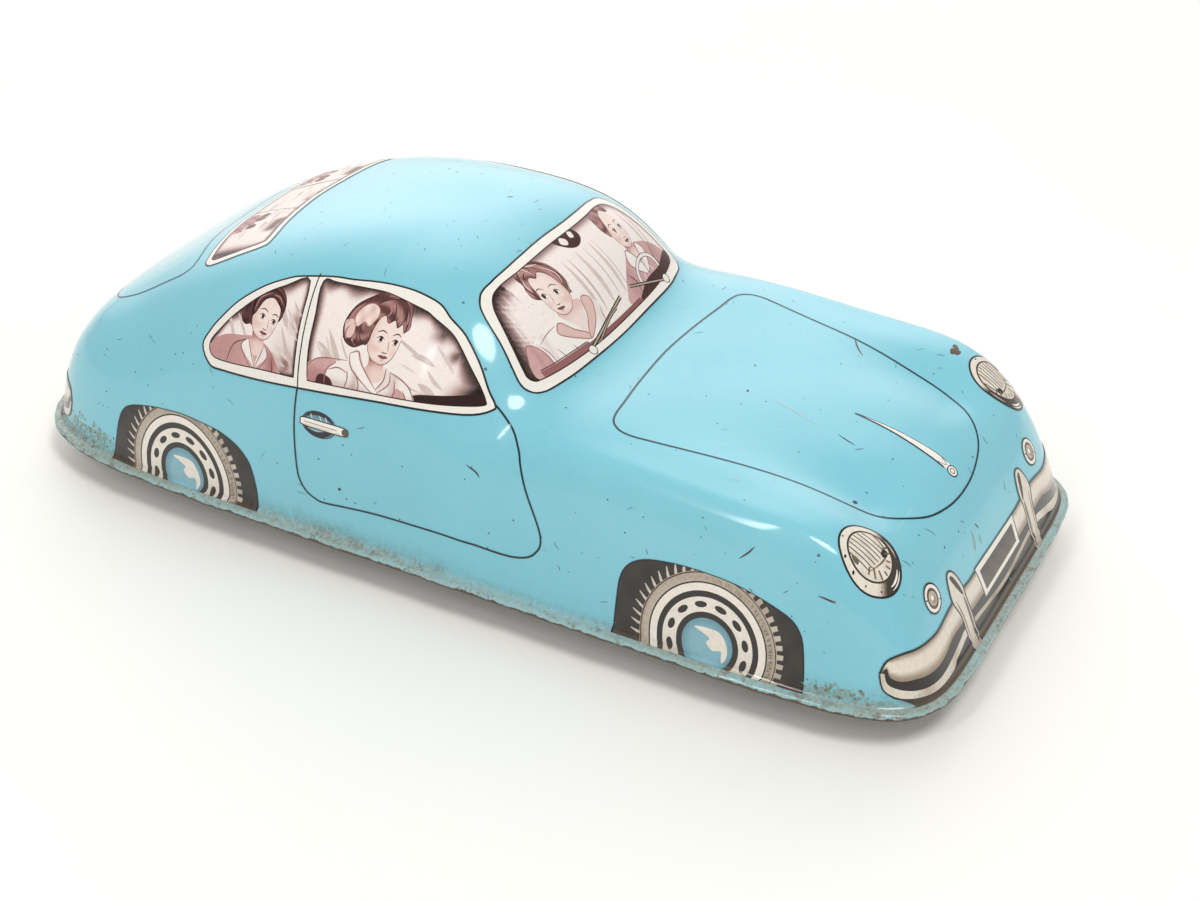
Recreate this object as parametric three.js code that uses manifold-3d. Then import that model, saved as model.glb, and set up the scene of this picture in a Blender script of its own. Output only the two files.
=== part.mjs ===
// Friction-drive tin toy car: one deep-drawn tin body clenched over a base plate,
// which carries a flywheel motor on the rear axle and a free-running front axle.
// Millimetres, +Z up, the front faces -Y and the car's left side is +X.
// The origin is on the ground under the middle of the car.
import * as THREE from 'three';
import { mergeVertices } from 'three/addons/utils/BufferGeometryUtils.js';
import Module from 'manifold-3d';

const wasm = await Module();
wasm.setup();

// ---------------------------------------------------------------- driving dimensions
const TIN = 0.5; // sheet thickness of the body and the base plate
const PLAY = 0.1; // gap between two sheets that lie on each other
const HEM_BOTTOM = 7.0; // underside of the rolled edge above the ground
const PLATE_BOTTOM = HEM_BOTTOM + TIN + PLAY;
const PLATE_TOP = PLATE_BOTTOM + TIN;
const FLANGE_BOTTOM = PLATE_TOP + PLAY;
const FLANGE_TOP = FLANGE_BOTTOM + TIN;
const BODY_ZERO = 8.0; // height from which the body's surface is counted
const FLANGE_WIDTH = 2.7; // how far the rolled edge stands out from the wall

// plan outline of the wall: a superellipse whose exponent differs front and rear
const WALL = { halfWidth: 48.4, halfLength: 107.2, frontPower: 8.5, rearPower: 6.0 };

// crown height of the lower body along the car
const CROWN_Y = [-104, -88, -68, -45, -20, 10, 45, 80, 104];
const CROWN_Z = [24.6, 31.9, 33.2, 34.2, 35.7, 34.3, 34.5, 35.2, 39.6];
const FENDER = { height: 3.2, x: 42.8, spread: 4.6 };
// the bonnet dips between the headlamp fairings: deepest at this |x| and y, less on the centre line
const DIP = { depth: 4.2, middle: 2.1, x: 22, spread: 9, y: -84, frontSpread: 9, rearSpread: 17 };
// edge rounding of the lower body at the nose, at the doors and at the tail
const EDGE = {
  nose: { power: 10.9, root: 1.42 },
  door: { power: 8.5, root: 1.46 },
  tail: { power: 4.8, root: 2.25 },
};
const CABIN = {
  height: 56.1, halfWidth: 52.2, peakY: 20.3, root: 1.76, frontSide: 3.57, rearSide: 3.7,
  frontLength: 47.8, frontPower: 3.27, rearLength: 83.8, rearPower: 1.93,
};
const CABIN_BLEND = 6.4; // how softly the cabin grows out of the lower body
const WALL_DROP = { power: 35, root: 3.4 }; // how sharply the sides turn down at the wall

const WHEEL_RADIUS = 13;
const ROUND_STEPS = 20; // facets of a wheel
const AXLE_Z = WHEEL_RADIUS * Math.cos(Math.PI / ROUND_STEPS); // a facet lies on the ground
const FRONT_AXLE_Y = -64;
const REAR_AXLE_Y = 58;
const WHEEL_X = 33;
const TYRE_WIDTH = 6;
const AXLE_RADIUS = 1.25;
const AXLE_HALF_LENGTH = 37.5;
const ARBOR_RADIUS = 1.0;
const ARBOR_HALF_LENGTH = 15.5;
const FIT = 0.1; // gap between a shaft and the bore of a piece fixed on it
const RUNNING = 0.12; // gap between a shaft and the hole it turns in

const FRAME_X = 13.5; // inner face of a motor frame plate
const FRAME_THICKNESS = 0.8;

const MODULE = 0.6; // tooth size: pitch diameter over number of teeth
const PRESSURE_ANGLE = THREE.MathUtils.degToRad(20);
const BACKLASH = 0.12;
const CENTRE_PLAY = 0.1;
const TEETH = { drive: 30, small: 10, middle: 32 };

const centreDistance = (a, b) => MODULE * (a + b) / 2 + CENTRE_PLAY;
const RISE_TO_MIDDLE = THREE.MathUtils.degToRad(145); // direction drive gear to middle arbor
const RISE_TO_FLYWHEEL = THREE.MathUtils.degToRad(165); // direction middle to flywheel arbor

const REAR_AXLE = new THREE.Vector2(REAR_AXLE_Y, AXLE_Z);
const FRONT_AXLE = new THREE.Vector2(FRONT_AXLE_Y, AXLE_Z);
const MIDDLE_ARBOR = polar(REAR_AXLE, centreDistance(TEETH.drive, TEETH.small), RISE_TO_MIDDLE);
const FLYWHEEL_ARBOR = polar(MIDDLE_ARBOR, centreDistance(TEETH.middle, TEETH.small), RISE_TO_FLYWHEEL);

// ---------------------------------------------------------------- materials
const material = (color, roughness, metalness) =>
  new THREE.MeshStandardMaterial({ color, roughness, metalness });
const PAINT = material(0x84c7dc, 0.28, 0.1);
const PLAIN_TIN = material(0xa9a69c, 0.42, 0.85);
const STEEL = material(0x9a9a98, 0.35, 0.9);
const BRASS = material(0xb9974f, 0.38, 0.9);
const IRON = material(0x56544f, 0.6, 0.7);
const RUBBER = material(0x25221f, 0.85, 0.0);

// ---------------------------------------------------------------- small helpers
function polar(from, distance, angle) {
  return new THREE.Vector2(from.x + distance * Math.cos(angle), from.y + distance * Math.sin(angle));
}

// shape x and y become the car's y and z, and the extrusion runs along x
const SHAPE_ALONG_X = new THREE.Matrix4().makeBasis(
  new THREE.Vector3(0, 1, 0), new THREE.Vector3(0, 0, 1), new THREE.Vector3(1, 0, 0));
// a lathe's axis becomes the car's x
const LATHE_ALONG_X = new THREE.Matrix4().makeBasis(
  new THREE.Vector3(0, 0, 1), new THREE.Vector3(1, 0, 0), new THREE.Vector3(0, 1, 0));
const LATHE_ALONG_Z = new THREE.Matrix4().makeRotationX(Math.PI / 2);

// keeps only positions, merges equal points, drops empty triangles and turns faces outwards
function closedMesh(geometry) {
  const bare = geometry.clone();
  bare.deleteAttribute('normal');
  bare.deleteAttribute('uv');
  const merged = mergeVertices(bare, 1e-4);
  const index = merged.index.array;
  const kept = [];
  for (let i = 0; i < index.length; i += 3) {
    const [a, b, c] = [index[i], index[i + 1], index[i + 2]];
    if (a !== b && b !== c && c !== a) kept.push(a, b, c);
  }
  merged.setIndex(kept);
  if (signedVolume(merged) < 0) {
    for (let i = 0; i < kept.length; i += 3) {
      [kept[i], kept[i + 1]] = [kept[i + 1], kept[i]];
    }
    merged.setIndex(kept);
  }
  merged.computeVertexNormals();
  return merged;
}

function signedVolume(geometry) {
  const position = geometry.attributes.position;
  const index = geometry.index.array;
  const corner = [new THREE.Vector3(), new THREE.Vector3(), new THREE.Vector3()];
  let volume = 0;
  for (let i = 0; i < index.length; i += 3) {
    corner.forEach((point, k) => point.fromBufferAttribute(position, index[i + k]));
    volume += corner[0].dot(corner[1].clone().cross(corner[2])) / 6;
  }
  return volume;
}

function toSolid(geometry) {
  const mesh = closedMesh(geometry);
  return new wasm.Manifold(new wasm.Mesh({
    numProp: 3,
    vertProperties: new Float32Array(mesh.attributes.position.array),
    triVerts: new Uint32Array(mesh.index.array),
  }));
}

function fromSolid(solid) {
  const mesh = solid.getMesh();
  const result = new THREE.BufferGeometry();
  result.setAttribute('position', new THREE.BufferAttribute(mesh.vertProperties, 3));
  result.setIndex([...mesh.triVerts]);
  return closedMesh(result);
}

const join = (...geometries) => fromSolid(geometries.map(toSolid).reduce((all, one) => all.add(one)));

const cut = (geometry, ...tools) =>
  fromSolid(tools.map(toSolid).reduce((rest, tool) => rest.subtract(tool), toSolid(geometry)));

// turned solid along x; profile points are [radius, distance along the axis]
function turnedAlongX(profile, steps) {
  const points = profile.map(([radius, along]) => new THREE.Vector2(radius, along));
  const lathe = new THREE.LatheGeometry(points, steps, Math.PI / steps);
  return closedMesh(lathe.applyMatrix4(LATHE_ALONG_X));
}

function turnedAlongZ(profile, steps) {
  const points = profile.map(([radius, along]) => new THREE.Vector2(radius, along));
  return closedMesh(new THREE.LatheGeometry(points, steps).applyMatrix4(LATHE_ALONG_Z));
}

// flat plate in the car's y-z plane, from x to x + thickness
function plateAlongX(shape, x, thickness) {
  const plate = new THREE.ExtrudeGeometry(shape, { depth: thickness, bevelEnabled: false, curveSegments: 6 });
  return closedMesh(plate.applyMatrix4(SHAPE_ALONG_X).translate(x, 0, 0));
}

const ringPoints = (radius, steps, centre = new THREE.Vector2(), phase = Math.PI / steps) =>
  Array.from({ length: steps }, (_, i) => polar(centre, radius, phase + i * 2 * Math.PI / steps));

// a faceted hole whose flats clear a shaft of this radius
const holeFor = (shaftRadius, centre, steps = 16) =>
  new THREE.Path(ringPoints((shaftRadius + RUNNING) / Math.cos(Math.PI / steps), steps, centre));

function roundedShape(corners, radius) {
  const shape = new THREE.Shape();
  corners.forEach((corner, i) => {
    const before = corners[(i + corners.length - 1) % corners.length];
    const after = corners[(i + 1) % corners.length];
    const enter = corner.clone().add(before.clone().sub(corner).setLength(radius));
    const leave = corner.clone().add(after.clone().sub(corner).setLength(radius));
    if (i === 0) shape.moveTo(enter.x, enter.y);
    else shape.lineTo(enter.x, enter.y);
    shape.quadraticCurveTo(corner.x, corner.y, leave.x, leave.y);
  });
  shape.closePath();
  return shape;
}

// box or upright pin that cuts a slot or a hole through flat sheet metal
const CUT_DEPTH = 6;
const slotCutter = (x, y, z, width, length) =>
  new THREE.BoxGeometry(width, length, CUT_DEPTH).translate(x, y, z);
const holeCutter = (x, y, z, radius) =>
  new THREE.CylinderGeometry(radius, radius, CUT_DEPTH, 12).rotateX(Math.PI / 2).translate(x, y, z);

// ---------------------------------------------------------------- the body's surface
const smoothStep = (value, centre, width) => 1 / (1 + Math.exp(-(value - centre) / width));

function naturalSpline(xs, ys) {
  const n = xs.length;
  const curvature = new Array(n).fill(0);
  const upper = new Array(n).fill(0);
  for (let i = 1; i < n - 1; i++) {
    const before = xs[i] - xs[i - 1];
    const after = xs[i + 1] - xs[i];
    const slopeChange = (ys[i + 1] - ys[i]) / after - (ys[i] - ys[i - 1]) / before;
    const pivot = 2 * (before + after) - before * upper[i - 1];
    upper[i] = after / pivot;
    curvature[i] = (6 * slopeChange - before * curvature[i - 1]) / pivot;
  }
  for (let i = n - 2; i > 0; i--) curvature[i] -= upper[i] * curvature[i + 1];
  return (x) => {
    let i = 0;
    while (i < n - 2 && x > xs[i + 1]) i++;
    const span = xs[i + 1] - xs[i];
    const a = (xs[i + 1] - x) / span;
    const b = (x - xs[i]) / span;
    return a * ys[i] + b * ys[i + 1]
      + ((a ** 3 - a) * curvature[i] + (b ** 3 - b) * curvature[i + 1]) * span ** 2 / 6;
  };
}
const crownAt = naturalSpline(CROWN_Y, CROWN_Z);

const outlinePower = (y) => WALL.frontPower + (WALL.rearPower - WALL.frontPower) * smoothStep(y, 0, 12);

// 0 on the centre, 1 on the wall's outline
function reach(x, y) {
  const power = outlinePower(y);
  const sum = Math.abs(x / WALL.halfWidth) ** power + Math.abs(y / WALL.halfLength) ** power;
  return Math.min(sum ** (1 / power), 1);
}

function bonnetDip(x, y) {
  const beside = Math.abs(x) - DIP.x;
  const along = Math.exp(-(((y - DIP.y) / (y < DIP.y ? DIP.frontSpread : DIP.rearSpread)) ** 2));
  const least = beside < 0 ? DIP.middle : 0;
  return along * (least + (DIP.depth - least) * Math.exp(-((beside / DIP.spread) ** 2)));
}

function bodyHeight(x, y) {
  const edge = reach(x, y);
  const nose = 1 - smoothStep(y, -28, 9);
  const tail = smoothStep(y, 58, 9);
  const door = 1 - nose - tail;
  const power = EDGE.nose.power * nose + EDGE.door.power * door + EDGE.tail.power * tail;
  const root = EDGE.nose.root * nose + EDGE.door.root * door + EDGE.tail.root * tail;
  const fender = FENDER.height * (1 - smoothStep(y, -20, 8))
    * Math.exp(-(((Math.abs(x) - FENDER.x) / FENDER.spread) ** 2));
  const crown = crownAt(THREE.MathUtils.clamp(y, -107, 107)) + fender - bonnetDip(x, y);
  const lower = crown * (1 - edge ** power) ** (1 / root);

  const behind = y - CABIN.peakY;
  const length = behind < 0 ? CABIN.frontLength : CABIN.rearLength;
  const lengthPower = behind < 0 ? CABIN.frontPower : CABIN.rearPower;
  const rear = smoothStep(y, 50, 14);
  const sidePower = CABIN.frontSide * (1 - rear) + CABIN.rearSide * rear;
  const left = 1 - Math.abs(x / CABIN.halfWidth) ** sidePower - Math.abs(behind / length) ** lengthPower;
  const cabin = CABIN.height * Math.max(left, 0) ** (1 / CABIN.root);

  const step = cabin - lower;
  const blended = lower + 0.5 * (step + Math.hypot(step, CABIN_BLEND));
  return blended * Math.max(-Math.expm1(WALL_DROP.power * Math.log(edge)), 0) ** (1 / WALL_DROP.root);
}

// the wall's outline in a direction seen from the middle of the car
function outlinePoint(angle) {
  const c = Math.cos(angle);
  const s = Math.sin(angle);
  let radius = WALL.halfWidth;
  for (let pass = 0; pass < 20; pass++) { // the power depends a little on y
    const power = outlinePower(radius * s);
    radius = (Math.abs(c / WALL.halfWidth) ** power + Math.abs(s / WALL.halfLength) ** power) ** (-1 / power);
  }
  return new THREE.Vector2(radius * c, radius * s);
}

// outward direction of the outline in plan
function outlineNormal(point) {
  const power = outlinePower(point.y);
  const slope = (value, half) => Math.sign(value) * Math.abs(value / half) ** (power - 1) / half;
  return new THREE.Vector2(slope(point.x, WALL.halfWidth), slope(point.y, WALL.halfLength)).normalize();
}

// outline points counter-clockwise, each with its outward normal and its foot on the spine x = 0;
// along the sides the spokes lie across the car, and at the ends they fan out from the spine's end
const SPINE_END = 57;
const SIDE_STEPS = 12;
const END_STEPS = 20;
const CORNER_WEIGHT = 28; // crowds spokes at the corners: length in mm that counts like one radian

function outlineSpokes() {
  const spokes = [];
  const addSpoke = (wall, spineY) => spokes.push({ wall, normal: outlineNormal(wall), spineY });
  const addSide = (sign) => {
    for (let i = 0; i <= SIDE_STEPS; i++) {
      const y = sign * SPINE_END * (2 * i / SIDE_STEPS - 1);
      const power = outlinePower(y);
      const x = sign * WALL.halfWidth * (1 - Math.abs(y / WALL.halfLength) ** power) ** (1 / power);
      addSpoke(new THREE.Vector2(x, y), y);
    }
  };
  const addEnd = (sign) => {
    const { wall } = spokes.at(-1);
    const start = Math.atan2(wall.y, wall.x);
    const sweep = Math.PI - 2 * Math.atan2(Math.abs(wall.y), Math.abs(wall.x));
    const fine = Array.from({ length: 401 }, (_, i) => outlinePoint(start + sweep * i / 400));
    const travelled = [0];
    for (let i = 1; i < fine.length; i++) {
      const turn = outlineNormal(fine[i]).angleTo(outlineNormal(fine[i - 1]));
      travelled.push(travelled[i - 1] + fine[i].distanceTo(fine[i - 1]) + CORNER_WEIGHT * turn);
    }
    for (let k = 1; k < END_STEPS; k++) {
      const goal = travelled.at(-1) * k / END_STEPS;
      addSpoke(fine[travelled.findIndex((distance) => distance >= goal)], sign * SPINE_END);
    }
  };
  addSide(1);
  addEnd(1);
  addSide(-1);
  addEnd(-1);
  return spokes;
}

// ---------------------------------------------------------------- body shell
const SKIN_RINGS = 14; // rings from the spine down to the foot of the wall
const FOOT_ABOVE_FLANGE = 2.0;

// outer skin of one spoke, evenly spaced along its run from the spine to the wall's foot
function skinAlongSpoke(spoke) {
  const start = new THREE.Vector2(0, spoke.spineY);
  const footZ = FLANGE_TOP + FOOT_ABOVE_FLANGE;
  const at = (t) => {
    const plan = start.clone().lerp(spoke.wall, t);
    return new THREE.Vector3(plan.x, plan.y, BODY_ZERO + bodyHeight(plan.x, plan.y));
  };
  const samples = [];
  for (let i = 0; i <= 80; i++) samples.push(at(0.96 * i / 80));
  for (let i = 1; i <= 160; i++) samples.push(at(1 - 0.04 * 10 ** (-i / 20)));
  const run = [samples[0]];
  const distance = [0];
  for (const point of samples.slice(1)) {
    if (point.z < footZ) break;
    distance.push(distance.at(-1) + point.distanceTo(run.at(-1)));
    run.push(point);
  }
  const foot = new THREE.Vector3(spoke.wall.x, spoke.wall.y, footZ);
  distance.push(distance.at(-1) + foot.distanceTo(run.at(-1)));
  run.push(foot);
  const points = [];
  for (let ring = 0; ring <= SKIN_RINGS; ring++) {
    const goal = distance.at(-1) * ring / SKIN_RINGS;
    let i = 0;
    while (i < run.length - 2 && distance[i + 1] < goal) i++;
    const share = (goal - distance[i]) / (distance[i + 1] - distance[i]);
    points.push(run[i].clone().lerp(run[i + 1], share));
  }
  return points;
}

// the rolled edge, as [outwards from the wall, height], from the outer skin round to the inner skin
const HEM = [
  [0.2, FLANGE_TOP + 0.9], [0.7, FLANGE_TOP + 0.25], [1.4, FLANGE_TOP],
  [FLANGE_WIDTH - 0.25, FLANGE_TOP], [FLANGE_WIDTH, FLANGE_TOP - 0.3],
  [FLANGE_WIDTH, HEM_BOTTOM + 0.3], [FLANGE_WIDTH - 0.25, HEM_BOTTOM],
  [FLANGE_WIDTH - 1.6, HEM_BOTTOM], [FLANGE_WIDTH - 1.6, HEM_BOTTOM + TIN],
  [FLANGE_WIDTH - TIN, HEM_BOTTOM + TIN], [FLANGE_WIDTH - TIN, FLANGE_BOTTOM],
  [1.2, FLANGE_BOTTOM], [0.35, FLANGE_BOTTOM + 0.15], [-0.25, FLANGE_TOP + 0.65],
];

function bodyShell() {
  const spokes = outlineSpokes();
  const outer = spokes.map(skinAlongSpoke);
  const inner = insideSkin(outer);
  const columns = spokes.map((spoke, j) => {
    const edge = HEM.map(([out, z]) => new THREE.Vector3(
      spoke.wall.x + spoke.normal.x * out, spoke.wall.y + spoke.normal.y * out, z));
    return [...outer[j], ...edge, ...inner[j].reverse()];
  });
  return closedMesh(gridGeometry(columns));
}

// quads between neighbouring columns, closing the ring of columns
function gridGeometry(columns) {
  const rows = columns[0].length;
  const position = columns.flat().flatMap((p) => [p.x, p.y, p.z]);
  const index = [];
  columns.forEach((_, j) => {
    const next = (j + 1) % columns.length;
    for (let k = 0; k < rows - 1; k++) {
      const [a, b] = [j * rows + k, next * rows + k];
      index.push(a, a + 1, b + 1, a, b + 1, b);
    }
  });
  const geometry = new THREE.BufferGeometry();
  geometry.setAttribute('position', new THREE.Float32BufferAttribute(position, 3));
  geometry.setIndex(index);
  return geometry;
}

// the outer skin moved inwards by the sheet's thickness
function insideSkin(outer) {
  const skin = mergeVertices(gridGeometry(outer), 1e-4);
  skin.computeVertexNormals();
  const normalAt = new Map();
  for (let i = 0; i < skin.attributes.position.count; i++) {
    const point = new THREE.Vector3().fromBufferAttribute(skin.attributes.position, i);
    normalAt.set(placeKey(point), new THREE.Vector3().fromBufferAttribute(skin.attributes.normal, i));
  }
  const up = Math.sign(normalAt.get(placeKey(outer[0][0])).z);
  return outer.map((column) => column.map((point) =>
    point.clone().addScaledVector(normalAt.get(placeKey(point)), -up * TIN)));
}

// a name for a place that survives storage as 32-bit numbers
const placeKey = (point) => point.toArray().map((value) => Math.fround(value).toFixed(3)).join(' ');

// ---------------------------------------------------------------- base plate
const WHEEL_SLOT = { length: 27.2, width: 9.2 };
const GEAR_X = 6; // inner face of the drive gear
const DRIVE_WIDTH = 3;
const GEAR_SLOT = { length: 19, width: DRIVE_WIDTH + 2 };
const FOOT_LENGTH = 6;
const FOOT_SLOT = { length: FOOT_LENGTH + 0.8, width: FRAME_THICKNESS + 0.8 };
const FRAME_FEET_Y = [33, 66];
const BRACKET_X = 23; // inner face of a front axle bracket's ear
const RIVET_X = 19.5;
const RIVET_OFFSET = 4.5;
const RIVET_HOLE = 1.15;
const PAD = { width: 32, length: 24, y: -20, drop: 0.5 }; // flat panel pressed down out of the plate

function basePlate() {
  const columns = outlineSpokes().map(({ wall, normal }) => {
    const edge = wall.clone().addScaledVector(normal, FLANGE_WIDTH - TIN - 2 * PLAY);
    return [new THREE.Vector3(0, 0, PLATE_TOP), new THREE.Vector3(edge.x, edge.y, PLATE_TOP),
      new THREE.Vector3(edge.x, edge.y, PLATE_BOTTOM), new THREE.Vector3(0, 0, PLATE_BOTTOM)];
  });
  const panelBottom = PLATE_BOTTOM - PAD.drop;
  const panelHeight = PAD.drop + TIN - PLAY;
  const panel = new THREE.BoxGeometry(PAD.width, PAD.length, panelHeight)
    .translate(0, PAD.y, panelBottom + panelHeight / 2);
  const panelInside = new THREE.BoxGeometry(PAD.width - 2 * TIN, PAD.length - 2 * TIN, CUT_DEPTH)
    .translate(0, PAD.y, panelBottom + TIN + CUT_DEPTH / 2);
  const cutters = [panelInside];
  cutters.push(slotCutter(GEAR_X + DRIVE_WIDTH / 2, REAR_AXLE_Y, PLATE_TOP, GEAR_SLOT.width, GEAR_SLOT.length));
  for (const side of [-1, 1]) {
    for (const y of [FRONT_AXLE_Y, REAR_AXLE_Y]) {
      cutters.push(slotCutter(side * WHEEL_X, y, PLATE_TOP, WHEEL_SLOT.width, WHEEL_SLOT.length));
    }
    for (const y of FRAME_FEET_Y) {
      const x = side * (FRAME_X + FRAME_THICKNESS / 2);
      cutters.push(slotCutter(x, y, PLATE_TOP, FOOT_SLOT.width, FOOT_SLOT.length));
    }
    for (const offset of [-RIVET_OFFSET, RIVET_OFFSET]) {
      cutters.push(holeCutter(side * RIVET_X, FRONT_AXLE_Y + offset, PLATE_TOP, RIVET_HOLE));
    }
  }
  return cut(join(gridGeometry(columns), panel), ...cutters);
}

// ---------------------------------------------------------------- motor frame
const PILLARS = [new THREE.Vector2(30.5, 11), new THREE.Vector2(70.5, 12), new THREE.Vector2(51, 33)];
const PILLAR_RADIUS = 1.5;
const PILLAR_NECK = 1.0;
const PILLAR_GAP = 0.15;

function framePlate(side) {
  const foot = PLATE_TOP + PLAY;
  const corner = [[27.5, foot], [73, foot], [73, 15.5], [65, 21], [54, 36], [48, 36], [31, 31], [27.5, 26]];
  const shape = roundedShape(corner.map(([y, z]) => new THREE.Vector2(y, z)), 1.6);
  shape.holes.push(holeFor(AXLE_RADIUS, REAR_AXLE));
  shape.holes.push(holeFor(ARBOR_RADIUS, MIDDLE_ARBOR));
  shape.holes.push(holeFor(ARBOR_RADIUS, FLYWHEEL_ARBOR));
  PILLARS.forEach((pillar) => shape.holes.push(holeFor(PILLAR_NECK, pillar, 12)));
  const x = side > 0 ? FRAME_X : -FRAME_X - FRAME_THICKNESS;
  const pieces = [plateAlongX(shape, x, FRAME_THICKNESS)];
  for (const y of FRAME_FEET_Y) {
    const legTop = foot + 1;
    const toeTop = PLATE_BOTTOM - PLAY;
    const toeBottom = toeTop - FRAME_THICKNESS;
    const leg = new THREE.BoxGeometry(FRAME_THICKNESS, FOOT_LENGTH, legTop - toeBottom);
    leg.translate(x + FRAME_THICKNESS / 2, y, (legTop + toeBottom) / 2);
    const toeLength = 3.2;
    const toe = new THREE.BoxGeometry(toeLength, FOOT_LENGTH, FRAME_THICKNESS);
    toe.translate(side * (FRAME_X + FRAME_THICKNESS - toeLength / 2), y, toeBottom + FRAME_THICKNESS / 2);
    pieces.push(leg, toe);
  }
  return join(...pieces);
}

function pillar(centre) {
  const inner = FRAME_X - PILLAR_GAP;
  const outer = FRAME_X + FRAME_THICKNESS + PILLAR_GAP;
  const head = outer + 0.8;
  const half = [[PILLAR_RADIUS, inner], [PILLAR_NECK, inner], [PILLAR_NECK, outer], [1.7, outer], [1.3, head]];
  const profile = [[0, -head], ...half.map(([r, x]) => [r, -x]).reverse(), ...half, [0, head]];
  return turnedAlongX(profile, 10).translate(0, centre.x, centre.y);
}

// ---------------------------------------------------------------- shafts, gears and flywheel
function shaft(radius, halfLength, centre, steps = 16) {
  const tip = halfLength + 0.5;
  const profile = [[0, -tip], [radius * 0.7, -tip], [radius, -halfLength],
    [radius, halfLength], [radius * 0.7, tip], [0, tip]];
  return turnedAlongX(profile, steps).translate(0, centre.x, centre.y);
}

const involute = (angle) => Math.tan(angle) - angle;

// straight-flanked stub teeth on true involute corners; tooth 0 points to phase
function gearShape(teeth, bore, phase) {
  const pitch = MODULE * teeth / 2;
  const base = pitch * Math.cos(PRESSURE_ANGLE);
  const tip = pitch + 0.8 * MODULE;
  const root = pitch - MODULE;
  const halfTooth = (radius) => Math.PI / (2 * teeth) - BACKLASH / (2 * pitch)
    + involute(PRESSURE_ANGLE) - involute(Math.acos(Math.min(base / radius, 1)));
  const origin = new THREE.Vector2();
  const points = [];
  for (let i = 0; i < teeth; i++) {
    const middle = phase + i * 2 * Math.PI / teeth;
    const atRoot = halfTooth(Math.max(root, base));
    const atTip = halfTooth(tip);
    points.push(polar(origin, root, middle - atRoot), polar(origin, tip, middle - atTip),
      polar(origin, tip, middle + atTip), polar(origin, root, middle + atRoot));
  }
  const shape = new THREE.Shape(points);
  shape.holes.push(new THREE.Path(ringPoints(bore, 16)));
  return shape;
}

function gear({ teeth, x, width, centre, shaftRadius, phase }) {
  const bore = (shaftRadius + FIT) / Math.cos(Math.PI / 16);
  return plateAlongX(gearShape(teeth, bore, phase), x, width).translate(0, centre.x, centre.y);
}

const FLYWHEEL_RADIUS = 11;
const FLYWHEEL_X = -9.5;
const FLYWHEEL_WIDTH = 8.5;

function flywheel() {
  const bore = (ARBOR_RADIUS + FIT) / Math.cos(Math.PI / ROUND_STEPS);
  const [left, right] = [FLYWHEEL_X, FLYWHEEL_X + FLYWHEEL_WIDTH];
  const edge = FLYWHEEL_RADIUS - 0.5;
  const profile = [[bore, left], [3, left], [3.4, left + 1.5], [7.2, left + 1.5], [7.8, left],
    [edge, left], [FLYWHEEL_RADIUS, left + 0.5], [FLYWHEEL_RADIUS, right - 0.5], [edge, right],
    [7.8, right], [7.2, right - 1.5], [3.4, right - 1.5], [3, right], [bore, right], [bore, left]];
  return turnedAlongX(profile, ROUND_STEPS).translate(0, FLYWHEEL_ARBOR.x, FLYWHEEL_ARBOR.y);
}

// ---------------------------------------------------------------- wheels and axles
const HUB_INNER = -1.5; // faces of the hub along the axle, from the tyre's middle outwards
const HUB_OUTER = 2.6;
const RIM_RADIUS = 9.4;

function wheel(side, centre) {
  const bore = (AXLE_RADIUS + FIT) / Math.cos(Math.PI / ROUND_STEPS);
  const profile = [[bore, HUB_INNER], [3, HUB_INNER], [3.4, 0], [8, -0.4], [8.4, -2.2], [RIM_RADIUS, -2.2],
    [RIM_RADIUS, 2.2], [8.2, 0.8], [3.8, 1.4], [2.8, HUB_OUTER], [bore, HUB_OUTER], [bore, HUB_INNER]];
  const facing = profile.map(([radius, along]) => [radius, side * along]);
  return turnedAlongX(facing, ROUND_STEPS).translate(side * WHEEL_X, centre.x, centre.y);
}

function tyre(side, centre) {
  const inner = (RIM_RADIUS + FIT) / Math.cos(Math.PI / ROUND_STEPS);
  const half = TYRE_WIDTH / 2;
  const profile = [[inner, -half + 0.3], [11.9, -half], [WHEEL_RADIUS, -half + 1.4],
    [WHEEL_RADIUS, half - 1.4], [11.9, half], [inner, half - 0.3], [inner, -half + 0.3]];
  return turnedAlongX(profile, ROUND_STEPS).translate(side * WHEEL_X, centre.x, centre.y);
}

function sleeve(side, from, centre) {
  const bore = (AXLE_RADIUS + FIT) / Math.cos(Math.PI / 16);
  const to = WHEEL_X + HUB_INNER - 0.3;
  const profile = [[bore, from], [2.1, from], [2.1, to], [bore, to], [bore, from]];
  const facing = profile.map(([radius, along]) => [radius, side * along]);
  return turnedAlongX(facing, 16).translate(0, centre.x, centre.y);
}

// ---------------------------------------------------------------- front axle brackets
const BRACKET_THICKNESS = 0.8;
const BRACKET_LENGTH = 14;

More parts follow.
